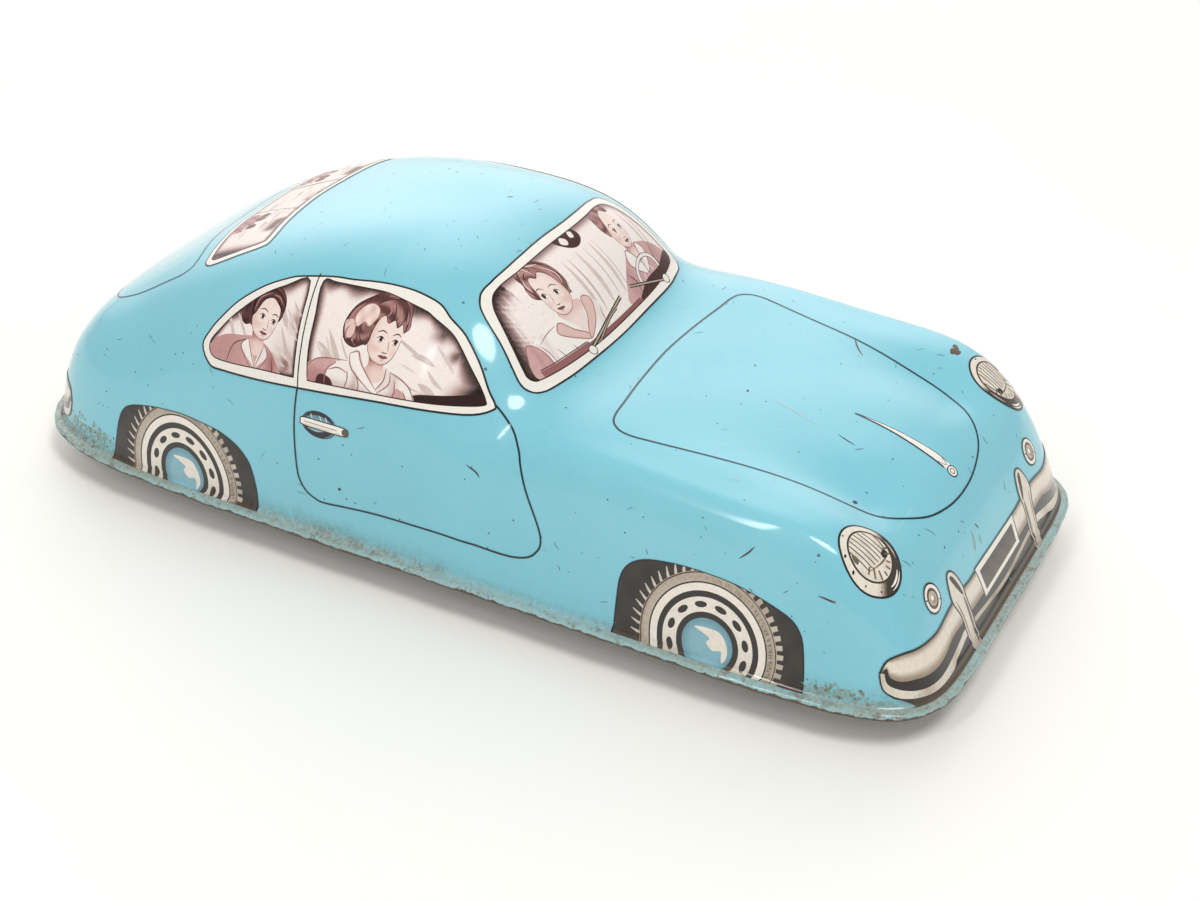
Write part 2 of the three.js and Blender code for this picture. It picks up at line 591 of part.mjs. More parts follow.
function bracket(side) {
  const bottom = PLATE_TOP + PLAY;
  const half = BRACKET_LENGTH / 2;
  const shape = new THREE.Shape();
  shape.moveTo(FRONT_AXLE_Y - half, bottom);
  shape.lineTo(FRONT_AXLE_Y + half, bottom);
  shape.lineTo(FRONT_AXLE_Y + 3.4, AXLE_Z + 1);
  shape.absarc(FRONT_AXLE_Y, AXLE_Z + 0.6, 3.4, 0.12, Math.PI - 0.12, false);
  shape.closePath();
  shape.holes.push(holeFor(AXLE_RADIUS, FRONT_AXLE));
  const x = side > 0 ? BRACKET_X : -BRACKET_X - BRACKET_THICKNESS;
  const ear = plateAlongX(shape, x, BRACKET_THICKNESS);
  const footWidth = 7.4;
  const footX = side * (BRACKET_X + 0.4 - footWidth / 2);
  const footMiddle = bottom + BRACKET_THICKNESS / 2;
  const foot = new THREE.BoxGeometry(footWidth, BRACKET_LENGTH, BRACKET_THICKNESS).translate(footX, FRONT_AXLE_Y, footMiddle);
  return cut(join(ear, foot),
    ...[-RIVET_OFFSET, RIVET_OFFSET].map((offset) =>
      holeCutter(side * RIVET_X, FRONT_AXLE_Y + offset, footMiddle, RIVET_HOLE)));
}

function rivet(side, offset) {
  const bottomHead = PLATE_BOTTOM - PLAY;
  const topHead = PLATE_TOP + PLAY + BRACKET_THICKNESS + PLAY;
  const profile = [[0, bottomHead - 0.7], [1.2, bottomHead - 0.6], [1.8, bottomHead], [1.0, bottomHead],
    [1.0, topHead], [1.8, topHead], [1.2, topHead + 0.7], [0, topHead + 0.8]];
  return turnedAlongZ(profile, 10).translate(side * RIVET_X, FRONT_AXLE_Y + offset, 0);
}

// ---------------------------------------------------------------- assembly
const car = new THREE.Group();
car.name = 'friction_tin_car';

function add(group, name, geometry, look) {
  const mesh = new THREE.Mesh(geometry, look);
  mesh.name = name;
  group.add(mesh);
}

const SIDES = [['left', 1], ['right', -1]];

const chassis = new THREE.Group();
add(chassis, 'body_shell', bodyShell(), PAINT);
add(chassis, 'base_plate', basePlate(), PLAIN_TIN);
for (const [name, side] of SIDES) {
  add(chassis, `motor_frame_${name}`, framePlate(side), PLAIN_TIN);
  add(chassis, `front_bracket_${name}`, bracket(side), PLAIN_TIN);
  add(chassis, `bracket_rivet_${name}_front`, rivet(side, -RIVET_OFFSET), STEEL);
  add(chassis, `bracket_rivet_${name}_rear`, rivet(side, RIVET_OFFSET), STEEL);
}
['lower_front', 'lower_rear', 'upper'].forEach((name, i) => {
  add(chassis, `frame_pillar_${name}`, pillar(PILLARS[i]), STEEL);
});
car.add(chassis);

function wheelSet(end, centre, sleeveStart) {
  const set = new THREE.Group();
  add(set, `${end}_axle`, shaft(AXLE_RADIUS, AXLE_HALF_LENGTH, centre), STEEL);
  for (const [name, side] of SIDES) {
    add(set, `${end}_wheel_${name}`, wheel(side, centre), PLAIN_TIN);
    add(set, `${end}_tyre_${name}`, tyre(side, centre), RUBBER);
    add(set, `${end}_spacer_${name}`, sleeve(side, sleeveStart, centre), STEEL);
  }
  return set;
}
const rearSet = wheelSet('rear', REAR_AXLE, FRAME_X + FRAME_THICKNESS + 0.5);
add(rearSet, 'drive_gear', gear({
  teeth: TEETH.drive, x: GEAR_X, width: DRIVE_WIDTH, centre: REAR_AXLE,
  shaftRadius: AXLE_RADIUS, phase: RISE_TO_MIDDLE,
}), BRASS);
car.add(rearSet);
car.add(wheelSet('front', FRONT_AXLE, BRACKET_X + BRACKET_THICKNESS + 0.5));

const middleSet = new THREE.Group();
add(middleSet, 'intermediate_arbor', shaft(ARBOR_RADIUS, ARBOR_HALF_LENGTH, MIDDLE_ARBOR), STEEL);
add(middleSet, 'intermediate_pinion', gear({
  teeth: TEETH.small, x: GEAR_X - 0.6, width: DRIVE_WIDTH + 1.2, centre: MIDDLE_ARBOR,
  shaftRadius: ARBOR_RADIUS, phase: RISE_TO_MIDDLE + Math.PI + Math.PI / TEETH.small,
}), STEEL);
add(middleSet, 'intermediate_gear', gear({
  teeth: TEETH.middle, x: 1.8, width: 2.4, centre: MIDDLE_ARBOR,
  shaftRadius: ARBOR_RADIUS, phase: RISE_TO_FLYWHEEL,
}), BRASS);
car.add(middleSet);

const flywheelSet = new THREE.Group();
add(flywheelSet, 'flywheel_arbor', shaft(ARBOR_RADIUS, ARBOR_HALF_LENGTH, FLYWHEEL_ARBOR), STEEL);
add(flywheelSet, 'flywheel_pinion', gear({
  teeth: TEETH.small, x: 1.2, width: 3.6, centre: FLYWHEEL_ARBOR,
  shaftRadius: ARBOR_RADIUS, phase: RISE_TO_FLYWHEEL + Math.PI + Math.PI / TEETH.small,
}), STEEL);
add(flywheelSet, 'flywheel', flywheel(), IRON);
car.add(flywheelSet);

export default car;
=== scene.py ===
"""Looks of the friction-drive tin toy car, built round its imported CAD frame.

Lengths are in millimetres until a mesh is made. The front faces -Y, the car's left is +X.
Printed artwork is a set of thin sheets that follow the body: each is drawn flat in a chart,
as shapes painted one over the other, and then laid on the body's skin.
"""
import math
import random

import bmesh
import bpy
import numpy as np
from mathutils import Matrix, Vector
from mathutils.bvhtree import BVHTree
from mathutils.geometry import delaunay_2d_cdt
from mathutils.interpolate import poly_3d_calc


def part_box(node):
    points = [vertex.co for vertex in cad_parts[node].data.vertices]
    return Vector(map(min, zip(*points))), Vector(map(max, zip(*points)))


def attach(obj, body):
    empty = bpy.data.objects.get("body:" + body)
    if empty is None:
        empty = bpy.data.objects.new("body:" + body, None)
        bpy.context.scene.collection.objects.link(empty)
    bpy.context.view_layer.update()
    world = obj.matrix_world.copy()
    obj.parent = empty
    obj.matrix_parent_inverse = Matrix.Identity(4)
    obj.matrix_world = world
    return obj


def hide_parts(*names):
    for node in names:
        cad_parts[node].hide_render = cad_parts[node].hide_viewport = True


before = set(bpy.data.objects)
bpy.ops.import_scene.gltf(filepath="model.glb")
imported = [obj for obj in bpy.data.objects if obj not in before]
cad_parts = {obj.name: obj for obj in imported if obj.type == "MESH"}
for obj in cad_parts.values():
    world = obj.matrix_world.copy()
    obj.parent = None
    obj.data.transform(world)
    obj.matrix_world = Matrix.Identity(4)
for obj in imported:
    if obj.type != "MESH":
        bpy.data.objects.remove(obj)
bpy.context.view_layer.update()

MM = 0.001
PER_MM = 1 / MM


def cad_mm(node):
    """Lowest and highest corner of a CAD node in millimetres."""
    low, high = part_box(node)
    return np.array(low) * PER_MM, np.array(high) * PER_MM


# ---------------------------------------------------------------- driving dimensions
TIN = 0.5
SHELL_LOW, SHELL_HIGH = cad_mm("body_shell")
PLATE_TOP = cad_mm("base_plate")[1][2]
HEM_BOTTOM = SHELL_LOW[2]
FLANGE_BOTTOM = PLATE_TOP + 0.1
FLANGE_TOP = FLANGE_BOTTOM + TIN
BODY_ZERO = HEM_BOTTOM + 1.0  # height from which the body's surface is counted
FLANGE_WIDTH = 2.7
HALF_WIDTH = SHELL_HIGH[0] - FLANGE_WIDTH
HALF_LENGTH = SHELL_HIGH[1] - FLANGE_WIDTH

CROWN_Y = np.array([-104, -88, -68, -45, -20, 10, 45, 80, 104], float)
CROWN_Z = np.array([24.6, 31.9, 33.2, 34.2, 35.7, 34.3, 34.5, 35.2, 39.6])
CROWN_END = 107  # beyond this the crown keeps its height
FRONT_POWER, REAR_POWER = 8.5, 6.0
EDGE_POWER = {"nose": 10.9, "door": 8.5, "tail": 4.8}
EDGE_ROOT = {"nose": 1.42, "door": 1.46, "tail": 2.25}
BLEND_MIDDLE = {"nose": -28, "tail": 58}  # where the nose and the tail turn into the door part
END_BLEND, OUTLINE_BLEND = 9, 12
FOOT_SHARPNESS, FOOT_ROOT = 35, 3.4  # how abruptly the wall comes down at the outline
FENDER_RISE, FENDER_X, FENDER_WIDTH = 3.2, 42.8, 4.6
FENDER_END, FENDER_BLEND = -20, 8
DIP_DEPTH, DIP_DEPTH_MIDDLE, DIP_HALF_WIDTH, DIP_FADE = 4.2, 2.1, 22, 9
DIP_Y, DIP_LENGTHS = -84, (9, 17)  # the dip's deepest place, and its reach ahead of it and behind it
CABIN_HEIGHT, CABIN_HALF_WIDTH, CABIN_PEAK_Y = 56.1, 52.2, 20.3
CABIN_ROOT, CABIN_BLEND = 1.76, 6.4
CABIN_LENGTHS, CABIN_LENGTH_POWERS = (47.8, 83.8), (3.27, 1.93)  # ahead of the peak and behind it
CABIN_SIDE_POWERS, CABIN_SIDE_BLEND = (3.57, 3.7), (50, 14)
FAR = 300  # outside everything

rng = random.Random(7)


# ---------------------------------------------------------------- the body's surface
def smooth_step(value, centre, width):
    return 1 / (1 + np.exp(-(value - centre) / width))


def natural_spline(xs, ys):
    """A natural cubic spline through the points, as a function of arrays."""
    n = len(xs)
    step = np.diff(xs)
    matrix = np.eye(n)
    right = np.zeros(n)
    for i in range(1, n - 1):
        matrix[i, i - 1:i + 2] = step[i - 1], 2 * (step[i - 1] + step[i]), step[i]
        right[i] = 6 * ((ys[i + 1] - ys[i]) / step[i] - (ys[i] - ys[i - 1]) / step[i - 1])
    bend = np.linalg.solve(matrix, right)

    def value(x):
        i = np.clip(np.searchsorted(xs, x) - 1, 0, n - 2)
        span = step[i]
        a = (xs[i + 1] - x) / span
        b = (x - xs[i]) / span
        cubic = (a ** 3 - a) * bend[i] + (b ** 3 - b) * bend[i + 1]
        return a * ys[i] + b * ys[i + 1] + cubic * span ** 2 / 6

    return value


crown_at = natural_spline(CROWN_Y, CROWN_Z)


def outline_power(y):
    return FRONT_POWER + (REAR_POWER - FRONT_POWER) * smooth_step(y, 0, OUTLINE_BLEND)


def bonnet_dip(x, y):
    """The bonnet lies lower than the headlamp fairings beside it."""
    beside = np.abs(x) - DIP_HALF_WIDTH
    along = np.exp(-((y - DIP_Y) / np.where(y < DIP_Y, *DIP_LENGTHS)) ** 2)
    least = np.where(beside < 0, DIP_DEPTH_MIDDLE, 0)
    return along * (least + (DIP_DEPTH - least) * np.exp(-(beside / DIP_FADE) ** 2))


def body_height(x, y):
    """Height of the body's skin above BODY_ZERO, for arrays of x and y."""
    power = outline_power(y)
    edge = (np.abs(x / HALF_WIDTH) ** power + np.abs(y / HALF_LENGTH) ** power) ** (1 / power)
    edge = np.clip(edge, 1e-9, 1)
    nose = 1 - smooth_step(y, BLEND_MIDDLE["nose"], END_BLEND)
    tail = smooth_step(y, BLEND_MIDDLE["tail"], END_BLEND)
    shares = {"nose": nose, "door": 1 - nose - tail, "tail": tail}
    edge_power = sum(EDGE_POWER[k] * shares[k] for k in shares)
    edge_root = sum(EDGE_ROOT[k] * shares[k] for k in shares)
    fender = FENDER_RISE * (1 - smooth_step(y, FENDER_END, FENDER_BLEND))
    fender = fender * np.exp(-((np.abs(x) - FENDER_X) / FENDER_WIDTH) ** 2)
    crown = crown_at(np.clip(y, -CROWN_END, CROWN_END)) + fender - bonnet_dip(x, y)
    lower = crown * np.maximum(1 - edge ** edge_power, 0) ** (1 / edge_root)

    behind = y - CABIN_PEAK_Y
    length = np.where(behind < 0, *CABIN_LENGTHS)
    length_power = np.where(behind < 0, *CABIN_LENGTH_POWERS)
    rear = smooth_step(y, *CABIN_SIDE_BLEND)
    side_power = CABIN_SIDE_POWERS[0] * (1 - rear) + CABIN_SIDE_POWERS[1] * rear
    left = 1 - np.abs(x / CABIN_HALF_WIDTH) ** side_power - np.abs(behind / length) ** length_power
    cabin = CABIN_HEIGHT * np.maximum(left, 0) ** (1 / CABIN_ROOT)
    rise = cabin - lower
    blended = lower + 0.5 * (rise + np.hypot(rise, CABIN_BLEND))
    return blended * np.maximum(-np.expm1(FOOT_SHARPNESS * np.log(edge)), 0) ** (1 / FOOT_ROOT)


def outline_point(angle):
    """Point of the wall's outline in a direction seen from the car's middle."""
    c, s = np.cos(angle), np.sin(angle)
    radius = HALF_WIDTH
    for _ in range(20):
        power = outline_power(radius * s)
        radius = (np.abs(c / HALF_WIDTH) ** power + np.abs(s / HALF_LENGTH) ** power) ** (-1 / power)
    return np.stack([radius * c, radius * s], -1)


def outline_normal(points):
    power = outline_power(points[..., 1])
    slope = [np.sign(points[..., k]) * np.abs(points[..., k] / half) ** (power - 1) / half
             for k, half in ((0, HALF_WIDTH), (1, HALF_LENGTH))]
    normal = np.stack(slope, -1)
    return normal / np.linalg.norm(normal, axis=-1, keepdims=True)


# ---------------------------------------------------------------- meshes
def new_object(name, vertices, faces, body="car_body"):
    """A smooth mesh object from points in millimetres, riding on a CAD body."""
    mesh = bpy.data.meshes.new(name)
    mesh.from_pydata([tuple(float(c) * MM for c in v) for v in vertices], [], [tuple(f) for f in faces])
    mesh.shade_smooth()
    thing = bpy.data.objects.new(name, mesh)
    bpy.context.scene.collection.objects.link(thing)
    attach(thing, body)
    return thing


def quads(count, rows, last):
    """Faces between neighbouring columns of points, where the columns stand in a ring."""
    return [(j * rows + k, (j + 1) % count * rows + k, (j + 1) % count * rows + (k + 1) % rows,
             j * rows + (k + 1) % rows) for j in range(count) for k in range(last)]


def tidy_mesh(thing, up):
    """Merges doubled points and turns the faces so that the topmost one looks up (or down)."""
    mesh = bmesh.new()
    mesh.from_mesh(thing.data)
    bmesh.ops.remove_doubles(mesh, verts=mesh.verts, dist=0.02 * MM)
    bmesh.ops.recalc_face_normals(mesh, faces=mesh.faces)
    top = max(mesh.faces, key=lambda face: face.calc_center_median().z)
    top.normal_update()
    if top.normal.dot(Vector(up)) < 0:
        bmesh.ops.reverse_faces(mesh, faces=mesh.faces)
    mesh.to_mesh(thing.data)
    mesh.free()
    thing.data.shade_smooth()


# ---------------------------------------------------------------- materials
# Noise and cell scales are in cycles per millimetre. Colours are 8-bit sRGB until linear() turns them.
def linear(*rgb):
    """Scene-linear colour with alpha from 8-bit sRGB."""
    parts = [c / 255 for c in rgb]
    return tuple(c / 12.92 if c <= 0.04045 else ((c + 0.055) / 1.055) ** 2.4 for c in parts) + (1.0,)


class Nodes:
    """Short names for the nodes a material is made of."""

    def __init__(self, name):
        self.material = bpy.data.materials.new(name)
        self.material.use_nodes = True
        self.tree = self.material.node_tree
        self.shader = self.tree.nodes["Principled BSDF"]

    def add(self, kind, **values):
        node = self.tree.nodes.new(kind)
        for key, value in values.items():
            setattr(node, key, value)
        return node

    def link(self, output, target):
        self.tree.links.new(output, target)

    def place(self, scale=(1, 1, 1), rotation=(0, 0, 0)):
        """Object coordinates in millimetres, stretched by scale."""
        mapping = self.add("ShaderNodeMapping")
        mapping.inputs["Scale"].default_value = [PER_MM * s for s in scale]
        mapping.inputs["Rotation"].default_value = rotation
        self.link(self.add("ShaderNodeTexCoord").outputs["Object"], mapping.inputs["Vector"])
        return mapping.outputs["Vector"]

    def noise(self, scale, detail, rough=0.55, where=None):
        node = self.add("ShaderNodeTexNoise")
        node.inputs["Scale"].default_value = scale
        node.inputs["Detail"].default_value = detail
        node.inputs["Roughness"].default_value = rough
        self.link(where or self.place(), node.inputs["Vector"])
        return node.outputs["Fac"]

    def cells(self, scale):
        node = self.add("ShaderNodeTexVoronoi")
        node.inputs["Scale"].default_value = scale
        self.link(self.place(), node.inputs["Vector"])
        return node.outputs["Distance"]

    def steps(self, value, *stops):
        """A ramp from (position, grey level or colour) stops."""
        ramp = self.add("ShaderNodeValToRGB")
        elements = ramp.color_ramp.elements
        while len(elements) < len(stops):
            elements.new(0.5)
        for element, (position, colour) in zip(elements, stops):
            element.position = position
            element.color = colour if isinstance(colour, tuple) else (colour, colour, colour, 1)
        self.link(value, ramp.inputs["Fac"])
        return ramp.outputs["Color"]

    def feed(self, socket, value):
        """Gives an input a constant, or links another node's output to it."""
        if isinstance(value, (int, float, tuple)):
            socket.default_value = value
        else:
            self.link(value, socket)

    def mix(self, share, first, second, blend="MIX"):
        node = self.add("ShaderNodeMix", data_type="RGBA", blend_type=blend)
        for i, value in ((0, share), (6, first), (7, second)):
            self.feed(node.inputs[i], value)
        return node.outputs[2]

    def maths(self, operation, first, second):
        node = self.add("ShaderNodeMath", operation=operation)
        self.feed(node.inputs[0], first)
        self.feed(node.inputs[1], second)
        return node.outputs[0]

    def times(self, first, second):
        return self.maths("MULTIPLY", first, second)

    def scaled(self, value, low, high):
        """0 where the value is low or less, 1 where it is high or more."""
        node = self.add("ShaderNodeMapRange")
        self.link(value, node.inputs["Value"])
        node.inputs["From Min"].default_value = low
        node.inputs["From Max"].default_value = high
        return node.outputs["Result"]

    def shaken(self, value, noise, amount):
        """The value made uneven by a noise, by up to half the amount each way."""
        centred = self.maths("SUBTRACT", noise, 0.5)
        return self.maths("ADD", value, self.times(centred, amount))

    def height(self):
        """Height above the ground in millimetres."""
        split = self.add("ShaderNodeSeparateXYZ")
        self.link(self.place(), split.inputs[0])
        return split.outputs["Z"]

    def tone(self):
        return self.add("ShaderNodeAttribute", attribute_name="tone").outputs["Fac"]

    def bump(self, height, depth, strength):
        node = self.add("ShaderNodeBump")
        node.inputs["Strength"].default_value = strength
        node.inputs["Distance"].default_value = depth * MM
        self.link(height, node.inputs["Height"])
        self.link(node.outputs["Normal"], self.shader.inputs["Normal"])

    def finish(self, colour, roughness=0.4, metallic=0.0, coat=0.0, coat_roughness=0.08, specular=0.5):
        for name, value in (("Base Color", colour), ("Roughness", roughness), ("Metallic", metallic),
                            ("Specular IOR Level", specular), ("Coat Weight", coat),
                            ("Coat Roughness", coat_roughness)):
            self.feed(self.shader.inputs[name], value)
        return self.material

    def glow(self, colour, strength):
        self.feed(self.shader.inputs["Emission Color"], colour)
        self.feed(self.shader.inputs["Emission Strength"], strength)


LACQUER = {"coat": 0.85, "coat_roughness": 0.09, "specular": 0.15}
DULL_COAT = 0.25  # on the printed glass, so that it mirrors less than the paint


def foot_wear_and_shade(m, base, printed=False):
    """A rubbed line and darker, greener patches at the foot of the wall, and a pale flange with a rusty
    edge.

    The lower half of the rolled edge is dark brown-black: painted shade where it turns under, mottled with
    rust-brown chips. Returns the colour and a mask of the rubbed line and that dark edge. Prints have a
    narrower line and no darker patches.
    """
    z = m.height()
    ragged = m.noise(0.35, 5, 0.7)
    fine = m.noise(1.3, 4, 0.7)
    slow = m.noise(0.03, 3, 0.6)

    def zone(unevenness, low, high, *stops):
        """A share that follows the height between two levels, with a ragged border."""
        return m.steps(m.scaled(m.shaken(z, ragged, unevenness), low, high), *stops)

    if printed:
        rub, reach, cover = linear(136, 112, 88), 1.9, 0.45
    else:
        rub, reach, cover = linear(182, 184, 168), 2.2, 0.75
        # darker, greener patches at the wall's foot, strongest at the flange and fading out upwards
        foot_darkening = zone(6.0, FLANGE_TOP, FLANGE_TOP + 6, (0.0, 0.85), (0.8, 0.0))
        foot_darkening = m.times(foot_darkening, m.steps(slow, (0.42, 0.25), (0.6, 1.0)))
        foot_darkening = m.times(foot_darkening, m.steps(fine, (0.35, 0.3), (0.6, 1.0)))
        base = m.mix(foot_darkening, base, linear(98, 130, 124))
        pale = zone(0.8, HEM_BOTTOM, FLANGE_TOP + 0.6, (0.7, 0.7), (0.95, 0.0))
        base = m.mix(m.times(pale, m.steps(fine, (0.3, 0.6), (0.6, 1.0))), base, linear(168, 196, 192))
    band = zone(1.6, FLANGE_TOP - 1, FLANGE_TOP + reach, (0.15, 0.0), (0.3, 0.9), (0.5, 0.6), (0.85, 0.0))
    band = m.times(band, m.steps(slow, (0.3, 0.3), (0.55, cover)))
    beige = m.mix(m.steps(fine, (0.3, 0.0), (0.7, 1.0)), rub, linear(128, 116, 96))
    base = m.mix(m.times(band, m.steps(fine, (0.3, 0.45), (0.5, 1.0))), base, beige)

    rust = m.steps(m.noise(0.42, 6, 0.75), (0.55, 0.0), (0.6, 0.9))
    rim = zone(1.2, HEM_BOTTOM, FLANGE_TOP + 2.6, (0.0, 1.0), (0.8, 0.0))
    base = m.mix(m.times(rust, rim), base, linear(104, 74, 54))
    # painted shade: the lower half of the rolled edge is dark brown-black where it turns under, mottled with
    # rust-brown chips
    shaded_chipped_edge = zone(1.7, HEM_BOTTOM, FLANGE_TOP, (0.55, 1.0), (0.66, 0.0))
    base = m.mix(shaded_chipped_edge, base, m.mix(fine, linear(44, 36, 30), linear(112, 84, 62)))
    return base, m.maths("MAXIMUM", band, shaded_chipped_edge)


def paint_material():
    """Glossy light-blue enamel: slightly uneven, scratched, speckled with chips, worn at the foot, and with
    painted shade under its rolled edge.
    """
    m = Nodes("blue_enamel")
    cloud = m.noise(0.022, 3, 0.5)
    fine = m.noise(0.5, 4, 0.6)
    base = m.mix(m.steps(cloud, (0.3, 0.0), (0.7, 1.0)), linear(126, 201, 217), linear(136, 208, 223))
    base = m.mix(m.steps(fine, (0.35, 0.0), (0.75, 0.16)), base, linear(158, 210, 218))

    # hairline scratches in two directions, lighter than the paint
    for turn, stretch in ((0.5, (0.9, 0.05, 0.2)), (-0.9, (0.05, 0.8, 0.2))):
        hair = m.noise(1.0, 2, 0.5, m.place(stretch, (0, 0, turn)))
        patch = m.noise(0.045, 2, 0.5, m.place(stretch[::-1]))
        mask = m.times(m.steps(hair, (0.70, 0.0), (0.74, 1.0)),
                       m.steps(patch, (0.5, 0.0), (0.62, 0.4)))
        base = m.mix(mask, base, linear(176, 216, 222))

    # small dark specks, thicker where a slow noise is high
    gate = m.noise(0.06, 2, 0.6)
    size = m.times(m.steps(gate, (0.4, 0.0), (0.7, 1.0)), 0.1)
    speck = m.maths("LESS_THAN", m.cells(0.23), size)
    base = m.mix(m.times(speck, 0.8), base, linear(66, 92, 98))

    # worn also covers the rolled edge's dark lower half, which is painted shade mottled with rust chips
    base, worn = foot_wear_and_shade(m, base)
    marks = m.maths("MAXIMUM", worn, speck)
    pits = m.maths("SUBTRACT", m.times(fine, 0.3), m.times(marks, 0.7))
    m.bump(pits, 0.06, 0.35)
    return m.finish(base, m.scaled(marks, -0.9, 2.0), **LACQUER)


def ink(name, light, dark, middle=None, wear=0.12, foot=False, dull=False):
    """Printed lacquer: the tone attribute runs from the light to the dark colour, over a fine grain."""
    m = Nodes(f"ink_{name}")
    stops = [(0.0, linear(*light)), (1.0, linear(*dark))]
    if middle:
        stops.insert(1, (0.5, linear(*middle)))
    colour = m.steps(m.shaken(m.tone(), m.noise(2.6, 3, 0.7), 0.16), *stops)
    grain = m.steps(m.noise(1.1, 4, 0.7), (0.3, 1.0 - wear), (0.6, 1.0))
    colour = m.mix(1.0, colour, grain, "MULTIPLY")
    size = m.times(m.steps(m.noise(0.2, 2), (0.5, 0.0), (0.7, 1.0)), 0.07)
    fleck = m.maths("LESS_THAN", m.cells(0.55), size)
    colour = m.mix(m.times(fleck, 0.5), colour, linear(120, 96, 80))
    # at the foot: the rubbed line, rust, and the rolled edge's painted shade, as on the paint
    if foot:
        colour, _ = foot_wear_and_shade(m, colour, True)
    m.bump(m.noise(2.0, 2), 0.01, 0.2)
    return m.finish(colour, 0.34, **{**LACQUER, "coat": DULL_COAT if dull else LACQUER["coat"]})


def worn_metal(name, light, dark, grime, roughness, metallic, scale=0.5, brushed=(1, 1, 1)):
    """Bare metal with cloudy tarnish, grime in patches and fine marks."""
    m = Nodes(name)
    cloud = m.noise(scale * 0.3, 4, 0.6)
    marks = m.noise(scale * 3, 4, 0.65, m.place(brushed))
    base = m.mix(m.steps(cloud, (0.35, 0.0), (0.65, 1.0)), linear(*light), linear(*dark))
    base = m.mix(m.steps(marks, (0.4, 0.0), (0.7, 0.35)), base, linear(*dark))
    dirt = m.steps(m.noise(scale, 5, 0.7), (0.56, 0.0), (0.68, 0.8))
    base = m.mix(dirt, base, linear(*grime))
    m.bump(marks, 0.05, 0.35)
    rough = m.scaled(m.maths("ADD", dirt, m.times(marks, 0.5)), -roughness * 3, 3.2 - roughness)
    return m.finish(base, rough, metallic)


def rubber_material():
    m = Nodes("black_rubber")
    dust = m.steps(m.noise(0.3, 5, 0.7), (0.4, 0.0), (0.7, 1.0))
    base = m.mix(dust, linear(38, 37, 36), linear(66, 63, 59))
    m.bump(m.noise(3.0, 4, 0.6), 0.06, 0.4)
    return m.finish(base, m.scaled(dust, -4.0, 3.0))


PAINT = paint_material()
BARE_TIN = worn_metal("plain_tin", (176, 176, 172), (138, 138, 134), (104, 92, 78), 0.32, 0.85)
WHEEL_TIN = worn_metal("wheel_tin", (206, 204, 198), (164, 160, 154), (112, 96, 80), 0.28, 0.85, 0.9)
STEEL = worn_metal("steel", (190, 190, 188), (142, 142, 142), (98, 86, 74), 0.24, 1.0, 0.8, (0.3, 2, 2))
BRASS = worn_metal("gear_brass", (208, 172, 96), (166, 130, 66), (96, 78, 48), 0.26, 1.0, 0.9)
IRON = worn_metal("flywheel_iron", (120, 118, 116), (84, 82, 80), (92, 66, 48), 0.36, 0.9, 0.6)
RUBBER = rubber_material()

INKS = {name: ink(name, *colours, **finish) for name, colours, finish in (
    ("cream", ((252, 247, 238), (214, 200, 184)), {"wear": 0.06}),
    ("line", ((30, 36, 40), (12, 15, 18)), {}),
    ("panel_line", ((22, 46, 56), (8, 20, 26)), {}),
    ("glass", ((250, 240, 233), (34, 18, 16), (190, 158, 152)), {"wear": 0.06, "dull": True}),
    ("streak", ((232, 216, 208), (196, 172, 164)), {"dull": True}),
    ("rose", ((214, 170, 166), (112, 66, 64), (176, 120, 118)), {"dull": True}),
    ("skin", ((250, 232, 222), (176, 118, 108), (230, 194, 184)), {"wear": 0.06, "dull": True}),
    ("hair", ((188, 140, 134), (42, 22, 22), (106, 66, 62)), {"dull": True}),
    ("brown", ((84, 50, 48), (30, 14, 14)), {"dull": True}),
    ("blouse", ((252, 245, 238), (196, 172, 164), (230, 212, 204)), {"wear": 0.06, "dull": True}),
    ("chrome", ((240, 231, 216), (44, 32, 26), (180, 162, 140)), {"foot": True}),
    ("shadow", ((84, 70, 58), (26, 20, 18)), {"foot": True}),
    ("arch", ((52, 46, 40), (26, 23, 21)), {"foot": True}),
    ("disc", ((248, 240, 228), (188, 172, 152)), {"foot": True}),
    ("tyre", ((214, 202, 186), (58, 48, 40), (158, 142, 124)), {"foot": True}),
    ("cap", ((152, 200, 214), (92, 142, 158)), {}),
    ("chip", ((96, 70, 54), (52, 40, 36)), {}),
    ("scratch", ((206, 214, 208), (150, 178, 180)), {}),
    ("worn", ((150, 182, 176), (112, 116, 96)), {"foot": True}),
)}


# ---------------------------------------------------------------- body shell
SPINE_END = 57  # spokes lie across the car up to here, and fan out beyond
SIDE_STEPS = 64
END_STEPS = 110
CORNER_WEIGHT = 28  # crowds spokes at the corners: length that counts like one radian of turning
SKIN_RINGS = 84
LINING_STEP = 4  # the hidden inner side takes every fourth ring
FOOT_Z = FLANGE_TOP + 2.0
FILLET, HEM_LAP = 1.5, 1.6


